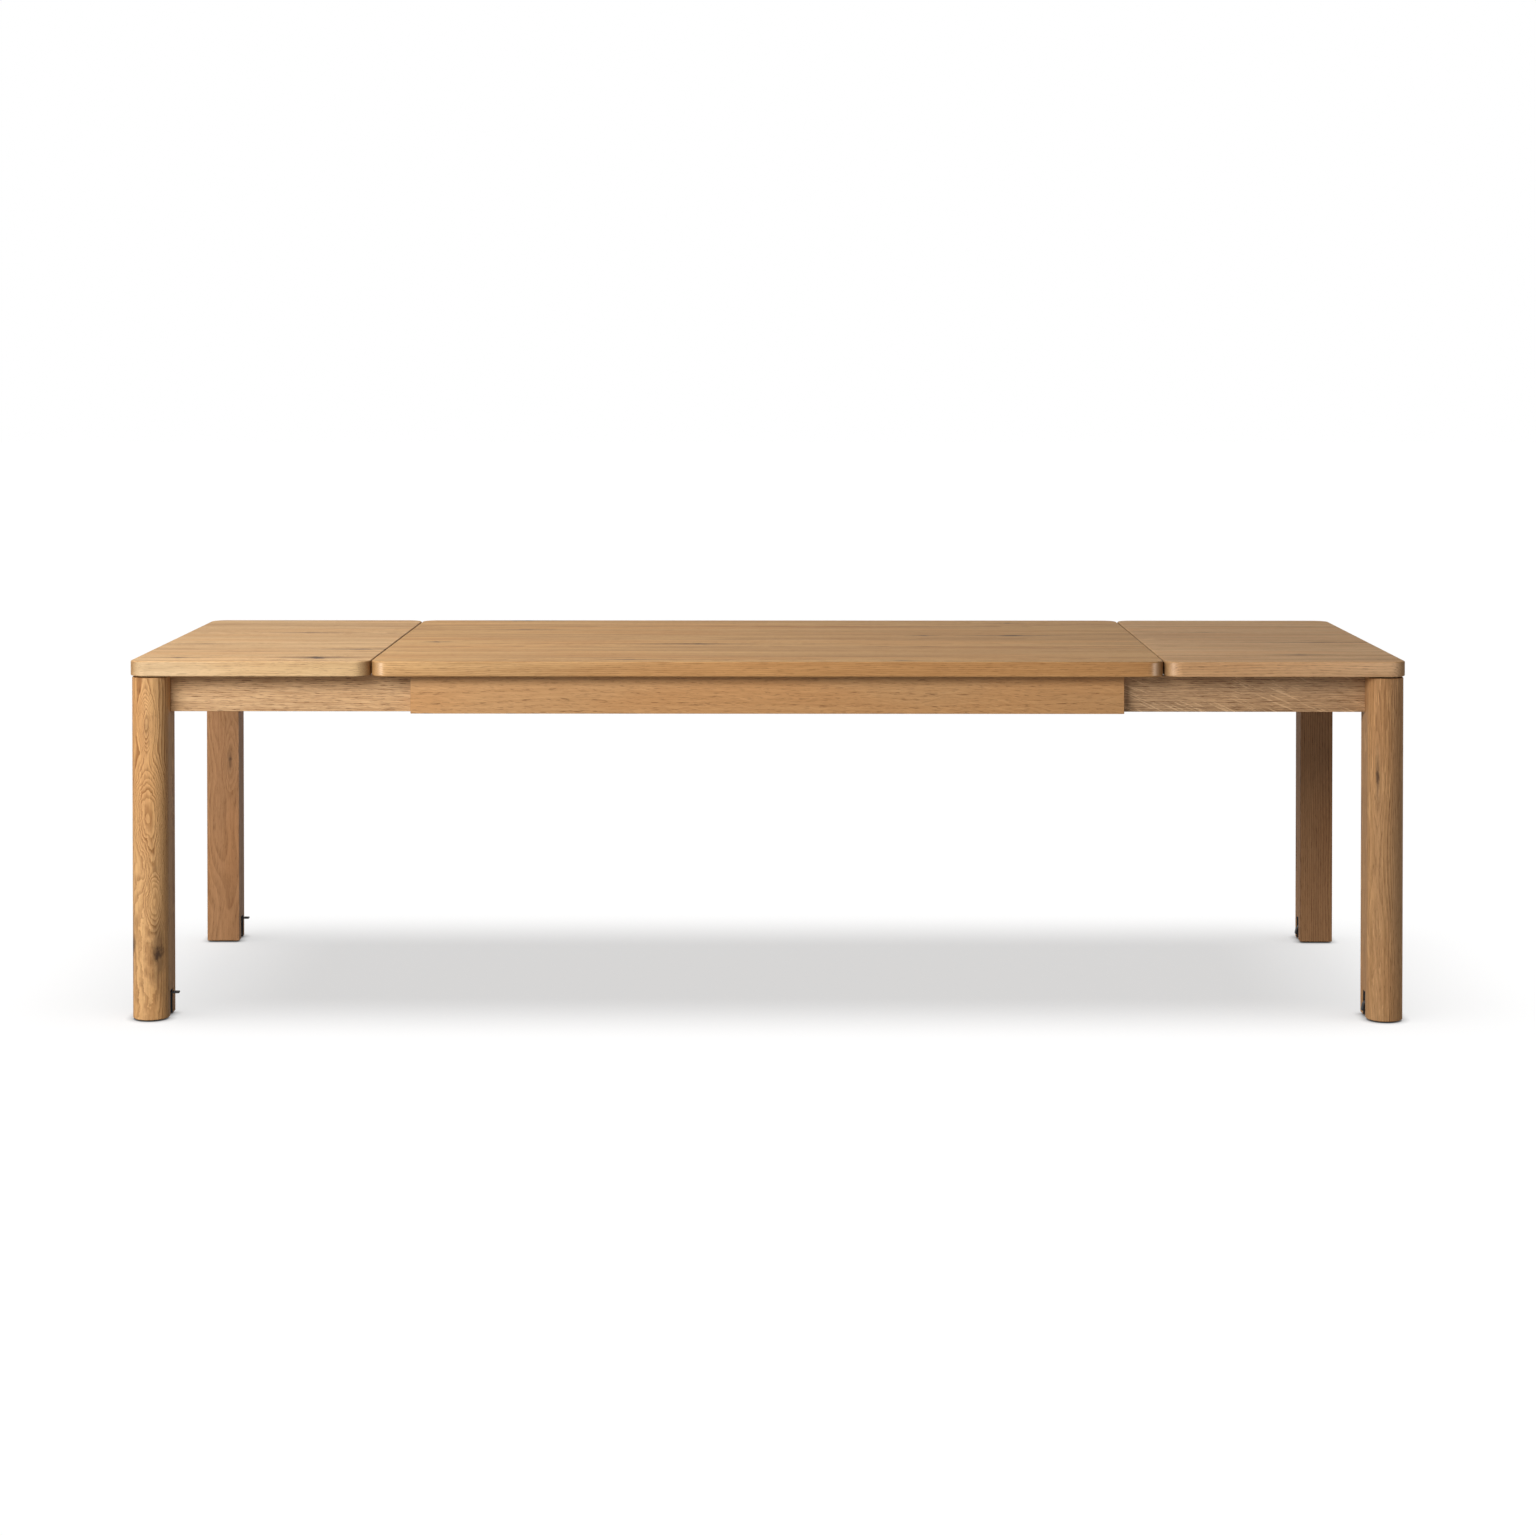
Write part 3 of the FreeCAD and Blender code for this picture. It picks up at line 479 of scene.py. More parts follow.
dark = calc(oak, "MULTIPLY_ADD", ring, entry["Rings"], BASE_DARK)
dark = calc(oak, "MULTIPLY_ADD", streak, entry["Streaks"], dark)
dark = calc(oak, "MULTIPLY_ADD", fibre, entry["Fibres"], dark)
dark = calc(oak, "MULTIPLY_ADD", patch, PATCH_DARK, dark)
dark = calc(oak, "ADD", dark, entry["Tone"])
dark = calc(oak, "SUBTRACT", dark, calc(oak, "MULTIPLY", entry["Fleck"], FLECK_LIFT), clamp=True)
colour = mix(oak, dark, entry["Light"], entry["Dark"])
pale = calc(oak, "MULTIPLY", entry["Fleck"], FLECK_SHARE, clamp=True)
colour = mix(oak, pale, colour, tint(oak, entry["Light"], FLECK_TINT))
warm = ease(oak, noise(oak, here, WARM_SCALE, 1), *WARM_EDGE)
colour = mix(oak, warm, colour, tint(oak, colour, WARM_TINT))
colour = mix(oak, calc(oak, "MULTIPLY", pore, entry["Pores"]), colour, PORE_BROWN)
colour = mix(oak, entry["End"], colour, tint(oak, colour, END_TINT))
colour = mix(oak, entry["Knot"], colour, entry["Knot colour"])

dull = calc(oak, "MULTIPLY_ADD", pore, PORE_DULL, BASE_DULL)
dull = calc(oak, "MULTIPLY_ADD", fibre, FIBRE_DULL, dull)
height = calc(oak, "MULTIPLY_ADD", pore, -PORE_SINK, fibre)
height = calc(oak, "MULTIPLY_ADD", ring, -RING_SINK, height)
feed(oak, result["Color"], colour)
feed(oak, result["Roughness"], dull)
feed(oak, result["Height"], height)
print("group:", oak.name, "with", len(oak.nodes), "nodes")

# %% [markdown]
# ## Boards from the log
# Each board gets its own place in the tree. The grain runs along one axis of the board, and the heart of
# the tree lies at a chosen point beside it: far behind the face it draws wide arches, far below it draws
# straight lines. A Mapping node turns and moves the pattern there, so the group itself stays the same.
# Masks go by the way a face points: they darken the end grain, tint the long edges and coat the rounded
# corners at the seams.

# %% Oak materials
GRAIN_TURNS = {"x": (0, 0, 0), "y": (0, 0, -math.pi / 2), "z": (0, math.pi / 2, 0)}
AXES = {"x": (1, 0, 0), "y": (0, 1, 0), "z": (0, 0, 1)}
KNOT_BROWN = srgb(70, 48, 32)
STAVE_WIDTH, STAVE_TONES = 0.127, 0.22
GRAIN_STRENGTH, GRAIN_RISE = 0.22, 0.0008
OAK_GLOSS, COAT_ROUGHNESS = 0.15, 0.40
END_FACING, SIDE_FACING = (0.15, 0.95), (0.5, 0.95)
CORNER_STARTS, CORNER_ENDS, ARRIS_FACING = (0.05, 0.35), (0.70, 0.90), (0.05, 0.25)
SEAM_REACH = 1.1  # how far from the middle a rounded corner still stands at a seam


def facing(tree, axis, limits):
    """How far a face looks along an axis, either way, as a mask that rises between two limits."""
    dot = tree.nodes.new("ShaderNodeVectorMath")
    dot.operation = "DOT_PRODUCT"
    feed(tree, dot.inputs[0], tree.nodes.new("ShaderNodeTexCoord").outputs["Normal"])
    dot.inputs[1].default_value = AXES[axis]
    return ease(tree, calc(tree, "ABSOLUTE", dot.outputs["Value"]), *limits)


def oak_material(
    name, along, heart, light, dark, tilt=(0, 0, 0), spacing=0.005, swirl=(2.2, 9, 9), sway=0.03,
    rings_depth=0.5, streaks=0.9, fibres=0.5, pores=0.5, stave_seed=None, knots=(), fleck=0.0,
    slope=0.0, edge=None, corner_coat=0.0,
):
    """A board of oak, with its heart line through a point of the table's frame."""
    material, tree, surface = new_material(name)
    turn = Euler([base + more for base, more in zip(GRAIN_TURNS[along], tilt)])
    rotate = turn.to_matrix()
    shift = -(rotate @ Vector(heart))
    mapping = tree.nodes.new("ShaderNodeMapping")
    mapping.inputs["Rotation"].default_value = turn
    mapping.inputs["Location"].default_value = shift
    table_place = tree.nodes.new("ShaderNodeTexCoord").outputs["Object"]
    feed(tree, mapping.inputs["Vector"], table_place)
    place = mapping.outputs[0]
    inputs = {
        "Place": place, "Spacing": spacing, "Swirl": swirl, "Sway": sway, "Rings": rings_depth,
        "Streaks": streaks, "Fibres": fibres, "Pores": pores, "End": facing(tree, along, END_FACING),
        "Light": srgb(*light), "Dark": srgb(*dark), "Knot_colour": KNOT_BROWN,
    }
    for middle, reach, strength, lift in knots:
        middle = rotate @ Vector(middle) + shift
        found = use_group(tree, knot, Place=place, Middle=middle, Reach=reach, Depth=strength, Lift=lift)
        core, bend = found["Core"], found["Bend"]
        inputs["Knot"] = calc(tree, "MAXIMUM", inputs["Knot"], core) if "Knot" in inputs else core
        inputs["Bend"] = calc(tree, "ADD", inputs["Bend"], bend) if "Bend" in inputs else bend
    if stave_seed is not None:
        stave = use_group(tree, staves, Place=place, Width=STAVE_WIDTH, Seed=stave_seed)
        inputs["Place"] = stave["Place"]
        inputs["Tone"] = calc(tree, "MULTIPLY_ADD", stave["Tone"], STAVE_TONES, -STAVE_TONES / 2)
    if fleck:
        rays_seen = use_group(tree, flecks, Place=place, Slope=slope)["Fleck"]
        inputs["Fleck"] = calc(tree, "MULTIPLY", rays_seen, fleck)
    wood = use_group(tree, oak, **inputs)
    dress(tree, surface, wood, GRAIN_STRENGTH, GRAIN_RISE)
    surface.inputs["Specular IOR Level"].default_value = OAK_GLOSS
    if edge:
        left_tint, right_tint, run = edge
        along_edge = ease(tree, parts_of(tree, table_place)["X"], *run)
        tints = mix(tree, along_edge, (*left_tint, 1), (*right_tint, 1))
        tinted = mix(tree, 1.0, wood["Color"], tints, "MULTIPLY")
        colour = mix(tree, facing(tree, "y", SIDE_FACING), wood["Color"], tinted)
        feed(tree, surface.inputs["Base Color"], colour)
    if corner_coat:
        rounded = facing(tree, "x", CORNER_STARTS)
        rounded = calc(tree, "SUBTRACT", rounded, facing(tree, "x", CORNER_ENDS))
        rounded = calc(tree, "SUBTRACT", rounded, facing(tree, "z", ARRIS_FACING), clamp=True)
        from_middle = calc(tree, "ABSOLUTE", parts_of(tree, table_place)["X"])
        coat = calc(tree, "MULTIPLY", calc(tree, "LESS_THAN", from_middle, SEAM_REACH), corner_coat)
        feed(tree, surface.inputs["Coat Weight"], calc(tree, "MULTIPLY", rounded, coat))
        surface.inputs["Coat Roughness"].default_value = COAT_ROUGHNESS
    return material


def paint_nodes(material, *names):
    for name in names:
        for place in nodes[name].material_slots:
            place.material = material


print("oak boards can be painted, with staves of", STAVE_WIDTH, "m")

# %% [markdown]
# ## Tops
# The centre and both leaves are broad boards with a quiet straight figure and a few dark knots. A knot
# could be a dent in the mesh, but a planed one is flush, so it only colours the wood and bends its rings.

# %% Tops
TOPS = {
    # light and dark oak, coat on the corners at the seams, seed of the staves
    "centre_top": ((209, 165, 110), (158, 113, 66), 0.7, 0.15),
    "left_leaf": ((217, 179, 131), (166, 123, 78), 0.0, 0.42),
    "right_leaf": ((224, 181, 131), (172, 128, 82), 0.6, 0.73),
}
TOP_EDGES = {
    # tints of the long edges at the left and at the right, and the run along x from one to the other
    "centre_top": ((1.07, 1.12, 1.23), (0.99, 0.88, 0.80), (-0.65, 0.0)),
    "left_leaf": ((1.0, 1.13, 1.33), (0.99, 1.035, 1.06), (-1.30, -0.92)),
    "right_leaf": ((1.0, 0.94, 0.94), (1.09, 1.11, 1.26), (0.92, 1.30)),
}
TOP_KNOTS = {
    # place on the top, reach along and across the board, depth
    "centre_top": [
        ((-0.595, 0.500), (0.058, 0.030), 0.94),
        ((-0.567, 0.259), (0.034, 0.018), 0.75),
        ((-0.743, -0.058), (0.015, 0.018), 1.00),
        ((-0.163, -0.105), (0.051, 0.022), 0.94),
        ((0.356, 0.102), (0.019, 0.018), 0.88),
        ((0.560, 0.103), (0.058, 0.021), 1.00),
        ((0.570, 0.433), (0.020, 0.021), 0.69),
        ((-0.291, -0.461), (0.031, 0.015), 0.62),
        ((0.281, -0.480), (0.027, 0.012), 0.62),
    ],
    "left_leaf": [
        ((-0.958, -0.419), (0.037, 0.042), 1.00),
        ((-1.259, -0.420), (0.034, 0.021), 0.75),
        ((-0.891, -0.231), (0.048, 0.022), 0.94),
        ((-1.063, 0.175), (0.037, 0.024), 0.56),
        ((-1.259, -0.111), (0.041, 0.018), 0.44),
    ],
    "right_leaf": [
        ((1.236, -0.061), (0.085, 0.021), 0.62),
        ((1.147, -0.351), (0.031, 0.030), 0.62),
        ((1.011, 0.185), (0.034, 0.015), 0.38),
    ],
}
TOP_HEART, KNOT_HEIGHT, KNOT_LIFT = (0, 0, 0.70), 0.76, 0.013
THROUGH = 5.0  # a knot's reach through a board, so that it comes out on both faces

for name, (light, dark, coat, seed) in TOPS.items():
    board = oak_material(
        "oak_" + name, "x", TOP_HEART, light, dark, stave_seed=seed, rings_depth=0.38, streaks=1.7,
        spacing=0.0034, sway=0.022, fibres=0.8, edge=TOP_EDGES[name], corner_coat=coat,
        knots=[
            ((*spot, KNOT_HEIGHT), (*reach, THROUGH), strength, KNOT_LIFT)
            for spot, reach, strength in TOP_KNOTS[name]
        ],
    )
    paint_nodes(board, name)
print("tops painted:", ", ".join(TOPS))

# %% [markdown]
# ## Aprons and side rails
# The centre aprons are plain, and the side rails are cut so that their rays show, most on the right.
# Front and back are twins, so one loop paints both, each with the heart of the tree behind it.

# %% Aprons and side rails
ENDS = {"left": -1, "right": 1}   # the way along x
SIDES = {"front": -1, "back": 1}  # the way along y
APRON_LIGHT, APRON_DARK = (206, 160, 110), (164, 118, 74)
RAIL_LIGHT, RAIL_DARK = (214, 176, 132), (158, 118, 80)
RAILS = {
    # light and dark oak, strength and slope of the ray flecks
    "left": (RAIL_LIGHT, RAIL_DARK, 0.25, -0.1),
    "right": ((212, 174, 133), (124, 90, 62), 0.85, -0.42),
}

for side, back in SIDES.items():
    apron = oak_material(
        "oak_centre_apron_" + side, "x", (0.3 * back, back * 0.37, 0.60), APRON_LIGHT, APRON_DARK,
        tilt=(0, 0.01 * back, 0.006), spacing=0.007, sway=0.03, rings_depth=0.14, streaks=0.5, fibres=1.0,
        pores=0.7, fleck=0.25, slope=-0.2,
    )
    paint_nodes(apron, "centre_apron_" + side)
    for end, right in ENDS.items():
        light, dark, fleck, slope = RAILS[end]
        rail = oak_material(
            f"oak_{end}_{side}_rail", "x", (right * 0.9 + back * 0.2, back * 0.44, 0.42), light, dark,
            tilt=(0, 0.008 * right, 0), spacing=0.004, sway=0.02, rings_depth=0.40, streaks=0.6, fibres=1.7,
            pores=0.9, fleck=fleck, slope=slope,
        )
        paint_nodes(rail, f"{end}_{side}_rail")
for end, right in ENDS.items():
    board = oak_material(
        f"oak_{end}_end_apron", "y", (right * 1.25, right * 0.3, 0.55), RAIL_LIGHT, RAIL_DARK,
        spacing=0.006, rings_depth=0.5, fibres=0.8, fleck=0.3, slope=0.2,
    )
    paint_nodes(board, end + "_end_apron")
print("painted: 2 centre aprons, 4 side rails and 2 end aprons")

# %% [markdown]
# ## Legs
# The legs are cut near the heart, so their round fronts show arches and closed eyes. Sway alone draws
# arches at random, so a few given spots bend the rings until they close.

# %% Legs
LEGS = {
    # light and dark oak, heart line, its tilt, ring spacing, swirl and sway, depth of the rings, ray flecks
    "left_front_leg": (
        (222, 175, 119), (150, 104, 61), (-1.300, -0.420, 0.40), (0, 0.006, 0.020),
        0.0042, (4.0, 11, 11), 0.024, 0.7, 0.0,
    ),
    "right_front_leg": (
        (208, 160, 110), (122, 82, 46), (1.380, -0.390, 0.50), (0, 0.014, -0.010),
        0.0036, (2.5, 9, 9), 0.024, 0.42, 0.45,
    ),
    "left_back_leg": (
        (188, 139, 95), (130, 88, 54), (-1.300, 0.480, 0.60), (0, -0.006, 0.025),
        0.0040, (4.0, 11, 11), 0.030, 0.4, 0.0,
    ),
    "right_back_leg": (
        (186, 138, 94), (128, 88, 56), (1.400, 0.480, 0.20), (0, 0.010, 0.006),
        0.0040, (2.2, 9, 9), 0.020, 0.5, 0.0,
    ),
}
EYE_THROUGH = 0.08
EYE_LENGTHS, EYE_WIDTHS = 10, 3  # how many times its reach a bend in the rings is long and wide


def eye(middle, length, width, lift):
    """A spot that only bends the rings, so that they close round it."""
    return middle, (length / EYE_LENGTHS, EYE_THROUGH, width / EYE_WIDTHS), 0.0, lift


LEG_KNOTS = {
    # middle, reach along, through and across the leg, depth, lift of the rings
    "left_front_leg": [
        ((-1.287, -0.497, 0.142), (0.034, 0.030, 0.019), 1.0, KNOT_LIFT),
        ((-1.346, -0.470, 0.158), (0.040, 0.040, 0.022), 1.0, KNOT_LIFT),
        ((-1.307, -0.506, 0.625), (0.012, 0.030, 0.006), 0.3, KNOT_LIFT),
        ((-1.290, -0.506, 0.326), (0.012, 0.030, 0.009), 0.25, KNOT_LIFT),
        eye((-1.307, -0.506, 0.630), 0.085, 0.030, 0.020),
        eye((-1.302, -0.506, 0.446), 0.140, 0.052, 0.030),
        eye((-1.288, -0.506, 0.251), 0.080, 0.034, 0.018),
    ],
    "left_back_leg": [
        ((-1.289, 0.400, 0.438), (0.012, 0.020, 0.008), 0.8, KNOT_LIFT),
        eye((-1.290, 0.400, 0.600), 0.150, 0.036, KNOT_LIFT),
    ],
    "right_front_leg": [((1.285, -0.499, 0.520), (0.024, 0.030, 0.0050), 0.9, 0.006)],
    "right_back_leg": [],
}

for name, (light, dark, heart, tilt, spacing, swirl, sway_size, ring_depth, fleck) in LEGS.items():
    post = oak_material(
        "oak_" + name, "z", heart, light, dark, tilt=tilt, spacing=spacing, swirl=swirl, sway=sway_size,
        rings_depth=ring_depth, streaks=0.8, fibres=0.8, pores=0.6, knots=LEG_KNOTS[name], fleck=fleck,
    )
    paint_nodes(post, name)
print("legs painted:", ", ".join(LEGS))

# %% [markdown]
# ## Beech inside
# The guide rails, bearers, blocks and spacers are out of sight and made of plain pale beech, with the
# short dashes of its rays. The same oak group draws it, with fainter rings and fewer pores, because the
# two woods differ in colour and strength of figure more than in kind.

# %% Beech
BEECH_LIGHT, BEECH_DARK = (226, 194, 152), (188, 146, 104)
INNER_BOARDS = {
    # grain, heart line, pieces
    "guide_rails": ("x", (0.2, 0.3, 0.55), ("guide_rail_front", "guide_rail_back", "apron_spacers")),
    "bearers": ("y", (0.3, 0.1, 0.60), ("cross_bearer_left", "cross_bearer_middle", "cross_bearer_right")),
    "blocks": ("z", (0.1, 0.2, 0.6), ("left_corner_blocks", "right_corner_blocks")),
    "dowels": ("x", (0, 0.03, 0.70), ("apron_dowels",)),
}

beech = {}
for name, (along, heart, members) in INNER_BOARDS.items():
    beech[name] = oak_material(
        "beech_" + name, along, heart, BEECH_LIGHT, BEECH_DARK, rings_depth=0.25, streaks=0.4, fibres=0.8,
        pores=0.1, fleck=0.4,
    )
    paint_nodes(beech[name], *members)
print("beech painted on", sum(len(members) for _, _, members in INNER_BOARDS.values()), "pieces")

# %% [markdown]
# ## Metal, nylon and rubber
# The slides are drawn aluminium with lines along their length, the screws and bolts are zinc plated, the
# castors are black steel with dark wheels, the shoes are white nylon and the leaf pads are rubber. One
# group draws the fine unevenness that all of them have, in colour, gloss and height, and each finish
# chooses its size and strength.

# %% Fitting finishes
CLOUD_SCALE, BLOTCH_EDGE = (60, 60, 60), (0.3, 0.7)
FITTING_BUMP = 0.5

uneven, entry, result = new_group(
    "Uneven finish",
    {
        "Place": "vector", "Grain": "vector", "Spread": "value", "Gloss": "value",
        "First": "colour", "Second": "colour",
    },
    {"Color": "colour", "Roughness": "value", "Height": "value"},
)
fine = noise(uneven, entry["Place"], entry["Grain"], 4, 0.6)
cloud = noise(uneven, entry["Place"], CLOUD_SCALE, 3)
blotch = calc(uneven, "MULTIPLY_ADD", fine, 0.5, calc(uneven, "MULTIPLY", cloud, 0.5))
shade = ease(uneven, blotch, *BLOTCH_EDGE)
feed(uneven, result["Color"], mix(uneven, shade, entry["First"], entry["Second"]))
rough = calc(uneven, "MULTIPLY", calc(uneven, "SUBTRACT", blotch, 0.5), entry["Spread"])
feed(uneven, result["Roughness"], calc(uneven, "ADD", rough, entry["Gloss"], clamp=True))
feed(uneven, result["Height"], fine)

FITTING_FINISHES = {
    # noise scale, spread of the gloss, roughness, two colours, metal, bump height in metres
    "drawn_aluminium": ((6, 2500, 2500), 0.5, 0.36, (196, 198, 200), (172, 174, 177), 1.0, 0.00003),
    "zinc_plate": ((700, 700, 700), 0.6, 0.32, (190, 192, 190), (150, 154, 158), 1.0, 0.00002),
    "black_steel": ((900, 900, 900), 0.4, 0.62, (24, 24, 25), (11, 11, 12), 0.0, 0.00006),
    "moulded_nylon": ((500, 500, 500), 0.3, 0.45, (232, 229, 219), (218, 214, 202), 0.0, 0.00003),
    "pad_rubber": ((1400, 1400, 1400), 0.3, 0.80, (52, 49, 46), (36, 34, 32), 0.0, 0.00015),
    "wheel_tread": ((1000, 1000, 1000), 0.4, 0.62, (38, 38, 39), (24, 24, 25), 0.0, 0.00008),
}


def fitting_material(name, grain, spread, gloss, first, second, metal, rise):
    material, tree, surface = new_material(name)
    look = use_group(
        tree, uneven, Place=tree.nodes.new("ShaderNodeTexCoord").outputs["Object"], Grain=grain,
        Spread=spread, Gloss=gloss, First=srgb(*first), Second=srgb(*second),
    )
    dress(tree, surface, look, FITTING_BUMP, rise)
    surface.inputs["Metallic"].default_value = metal
    return material


finishes = {name: fitting_material(name, *settings) for name, settings in FITTING_FINISHES.items()}
finishes["beech_dowels"] = beech["dowels"]
corners = [f"{end}_{side}" for end in ENDS for side in SIDES]
paint_nodes(finishes["drawn_aluminium"], "slide_channel_front", "slide_channel_back")
paint_nodes(finishes["drawn_aluminium"], *[corner + "_runner" for corner in corners])
paint_nodes(finishes["moulded_nylon"], "slide_stops", *[end + "_shoes" for end in ENDS])
paint_nodes(finishes["black_steel"], *[end + "_castor_housings" for end in ENDS])
paint_nodes(finishes["zinc_plate"], *[end + "_castor_pins" for end in ENDS])
print("finishes:", ", ".join(finishes))

# %% [markdown]
# ## Modelling tools
# The small fittings are modelled as by hand: a primitive, then inset, extrude and bevel in edit mode.
# With no window there is nothing to click on, so faces are picked in code by their place and direction.
# A finished fitting is copied to its other places, and each copy gets its own mesh.

# %% Modelling helpers
AXIS_TURNS = {"x": (0, math.pi / 2, 0), "y": (math.pi / 2, 0, 0), "z": (0, 0, 0)}
SHARP_ANGLE = math.radians(35)
MERGE_REACH = 0.000004


def object_mode():
    if bpy.context.mode != "OBJECT":
        bpy.ops.object.mode_set(mode="OBJECT")


def clear_selection():
    object_mode()
    bpy.ops.object.select_all(action="DESELECT")


def select_only(piece):
    clear_selection()
    piece.select_set(True)
    bpy.context.view_layer.objects.active = piece


def settle(name):
    """Name the new primitive and put its place, turn and scale into its mesh."""
    piece = bpy.context.object
    piece.name = name
    piece.data.name = name
    bpy.ops.object.transform_apply(location=True, rotation=True, scale=True)
    return piece


def round_bar(name, middle, radius, length, axis, sides=32):
    clear_selection()
    bpy.ops.mesh.primitive_cylinder_add(
        vertices=sides, radius=radius, depth=length, location=middle, rotation=AXIS_TURNS[axis]
    )
    return settle(name)


def block(name, middle, size):
    clear_selection()
    bpy.ops.mesh.primitive_cube_add(size=1, location=middle)
    bpy.context.object.scale = size
    return settle(name)


def unpick(mesh, edges, faces):
    """Select nothing, ready for edges or faces to be picked."""
    object_mode()
    bpy.context.tool_settings.mesh_select_mode = (False, edges, faces)
    for items in (mesh.vertices, mesh.edges, mesh.polygons):
        items.foreach_set("select", [False] * len(items))


def pick_faces(piece, wanted):
    """Go to edit mode with just the faces selected whose centre and normal are wanted."""
    unpick(piece.data, False, True)
    for face in piece.data.polygons:
        face.select = bool(wanted(face.center, face.normal))
    bpy.ops.object.mode_set(mode="EDIT")


def pick_edges(piece, wanted):
    """Go to edit mode with just the edges selected whose two ends are wanted."""
    mesh = piece.data
    unpick(mesh, True, False)
    for edge in mesh.edges:
        first, second = (mesh.vertices[number].co for number in edge.vertices)
        edge.select = bool(wanted(first, second))
    bpy.ops.object.mode_set(mode="EDIT")


def looks(axis, way=0, least=0.9):
    """A test for faces that look along an axis: one way or, without a way, both."""
    def wanted(centre, normal):
        along = getattr(normal, axis)
        return (along * way if way else abs(along)) > least
    return wanted


def inset(piece, wanted, width):
    pick_faces(piece, wanted)
    bpy.ops.mesh.inset(thickness=width, use_individual=True)


def push(move):
    """Extrude what is selected."""
    bpy.ops.mesh.extrude_region_move(TRANSFORM_OT_translate={"value": move})


def apply_modifier(piece, kind, **settings):
    select_only(piece)
    modifier = piece.modifiers.new(kind.lower(), kind)
    for name, setting in settings.items():
        setattr(modifier, name, setting)
    bpy.ops.object.modifier_apply(modifier=modifier.name)


def clean(piece):
    """Merge the points and drop the slivers that are left where bevels or cuts meet, and shade smooth."""
    pick_faces(piece, lambda centre, normal: True)
    bpy.ops.mesh.remove_doubles(threshold=MERGE_REACH)
    bpy.ops.mesh.dissolve_degenerate(threshold=MERGE_REACH)
    select_only(piece)
    bpy.ops.object.shade_smooth_by_angle(angle=SHARP_ANGLE)


def round_off(piece, width, segments=2):
    """Bevel the sharp edges."""
    apply_modifier(
        piece, "BEVEL", width=width, segments=segments, limit_method="ANGLE", angle_limit=SHARP_ANGLE
    )
    clean(piece)


def combine(piece, other, operation):
    """Join to a piece, or cut from it, another one that is then deleted."""
    apply_modifier(piece, "BOOLEAN", operation=operation, object=other, solver="EXACT")
    bpy.data.objects.remove(other)
    clean(piece)


def copy_piece(piece, name, matrix):
    """A copy with its own mesh, moved or turned by a matrix."""
    twin = piece.copy()
    twin.data = piece.data.copy()
    twin.name = name
    twin.data.name = name
    twin.data.transform(matrix)
    bpy.context.scene.collection.objects.link(twin)
    return twin


def join(name, pieces):
    clear_selection()
    for piece in pieces:
        piece.select_set(True)
    bpy.context.view_layer.objects.active = pieces[0]
    bpy.ops.object.join()
    joined = bpy.context.object
    joined.name = name
    joined.data.name = name
    return joined


def fit(piece, material, body, replaced):
    """Give a finished piece its finish and its body, hide the CAD node it stands for, and compare their
    boxes.
    """
    clear_selection()
    low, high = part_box(replaced)
    spots = [vertex.co for vertex in piece.data.vertices]
    off = max(
        abs(edge(spot[axis] for spot in spots) - wanted[axis])
        for axis in range(3) for edge, wanted in ((min, low), (max, high))
    )
    print(piece.name, "differs by", round(1000 * off, 2), "mm")
    piece.data.materials.clear()
    piece.data.materials.append(finishes[material])
    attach(piece, body)
    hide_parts(replaced)


print("tools ready, bevels start at", round(math.degrees(SHARP_ANGLE)), "degrees")

# %% [markdown]
# ## Wheels
# Each castor wheel is one turned form: a tread with a shallow groove round it, a thinner web and a hub as
# wide as the housing. A lathe profile could be spun, but insetting and pushing the end faces of a cylinder
# gives the same steps and keeps the faces even.

# %% Wheels
WHEEL_RADIUS, WHEEL_WIDTH, WHEEL_SIDES = 0.017, 0.018, 56
RIM_WIDTH, WEB_WIDTH, HUB_WALL = 0.004, 0.006, 0.0039
WEB_DEPTH, HUB_RISE = 0.0045, 0.0080
BORE_REACH, TREAD_REACH = 0.0005, 0.98 * WHEEL_RADIUS  # distances from the axle that tell the faces apart
TREAD_BORDER, GROOVE_SHARE, WHEEL_BEVEL = 0.005, 0.955, 0.0009

low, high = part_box("left_front_wheel")
wheel_middle = (low + high) / 2
wheel = round_bar("wheel", wheel_middle, WHEEL_RADIUS, WHEEL_WIDTH, "y", WHEEL_SIDES)
for way in (-1, 1):
    inset(wheel, looks("y", way), RIM_WIDTH)
    push((0, -way * WEB_DEPTH, 0))
    bpy.ops.mesh.inset(thickness=WEB_WIDTH, use_individual=True)
    push((0, way * HUB_RISE, 0))
    bpy.ops.mesh.inset(thickness=HUB_WALL, use_individual=True)


def from_axle(centre):
    return math.hypot(centre.x - wheel_middle.x, centre.z - wheel_middle.z)


pick_faces(wheel, lambda centre, normal: abs(normal.y) > 0.9 and from_axle(centre) < BORE_REACH)
bpy.ops.mesh.bridge_edge_loops()
pick_faces(wheel, lambda centre, normal: abs(normal.y) < 0.1 and from_axle(centre) > TREAD_REACH)
bpy.ops.mesh.inset(thickness=TREAD_BORDER)
push((0, 0, 0))
bpy.ops.transform.resize(value=(GROOVE_SHARE, 1, GROOVE_SHARE), center_override=wheel_middle)
round_off(wheel, WHEEL_BEVEL)
for corner in corners:
    low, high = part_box(corner + "_wheel")
    move = Matrix.Translation((low + high) / 2 - wheel_middle)
    turned = copy_piece(wheel, corner + "_castor_wheel", move)
    fit(turned, "wheel_tread", corner + "_wheel", corner + "_wheel")
print("wheels:", len(corners), "of", len(wheel.data.polygons), "faces")
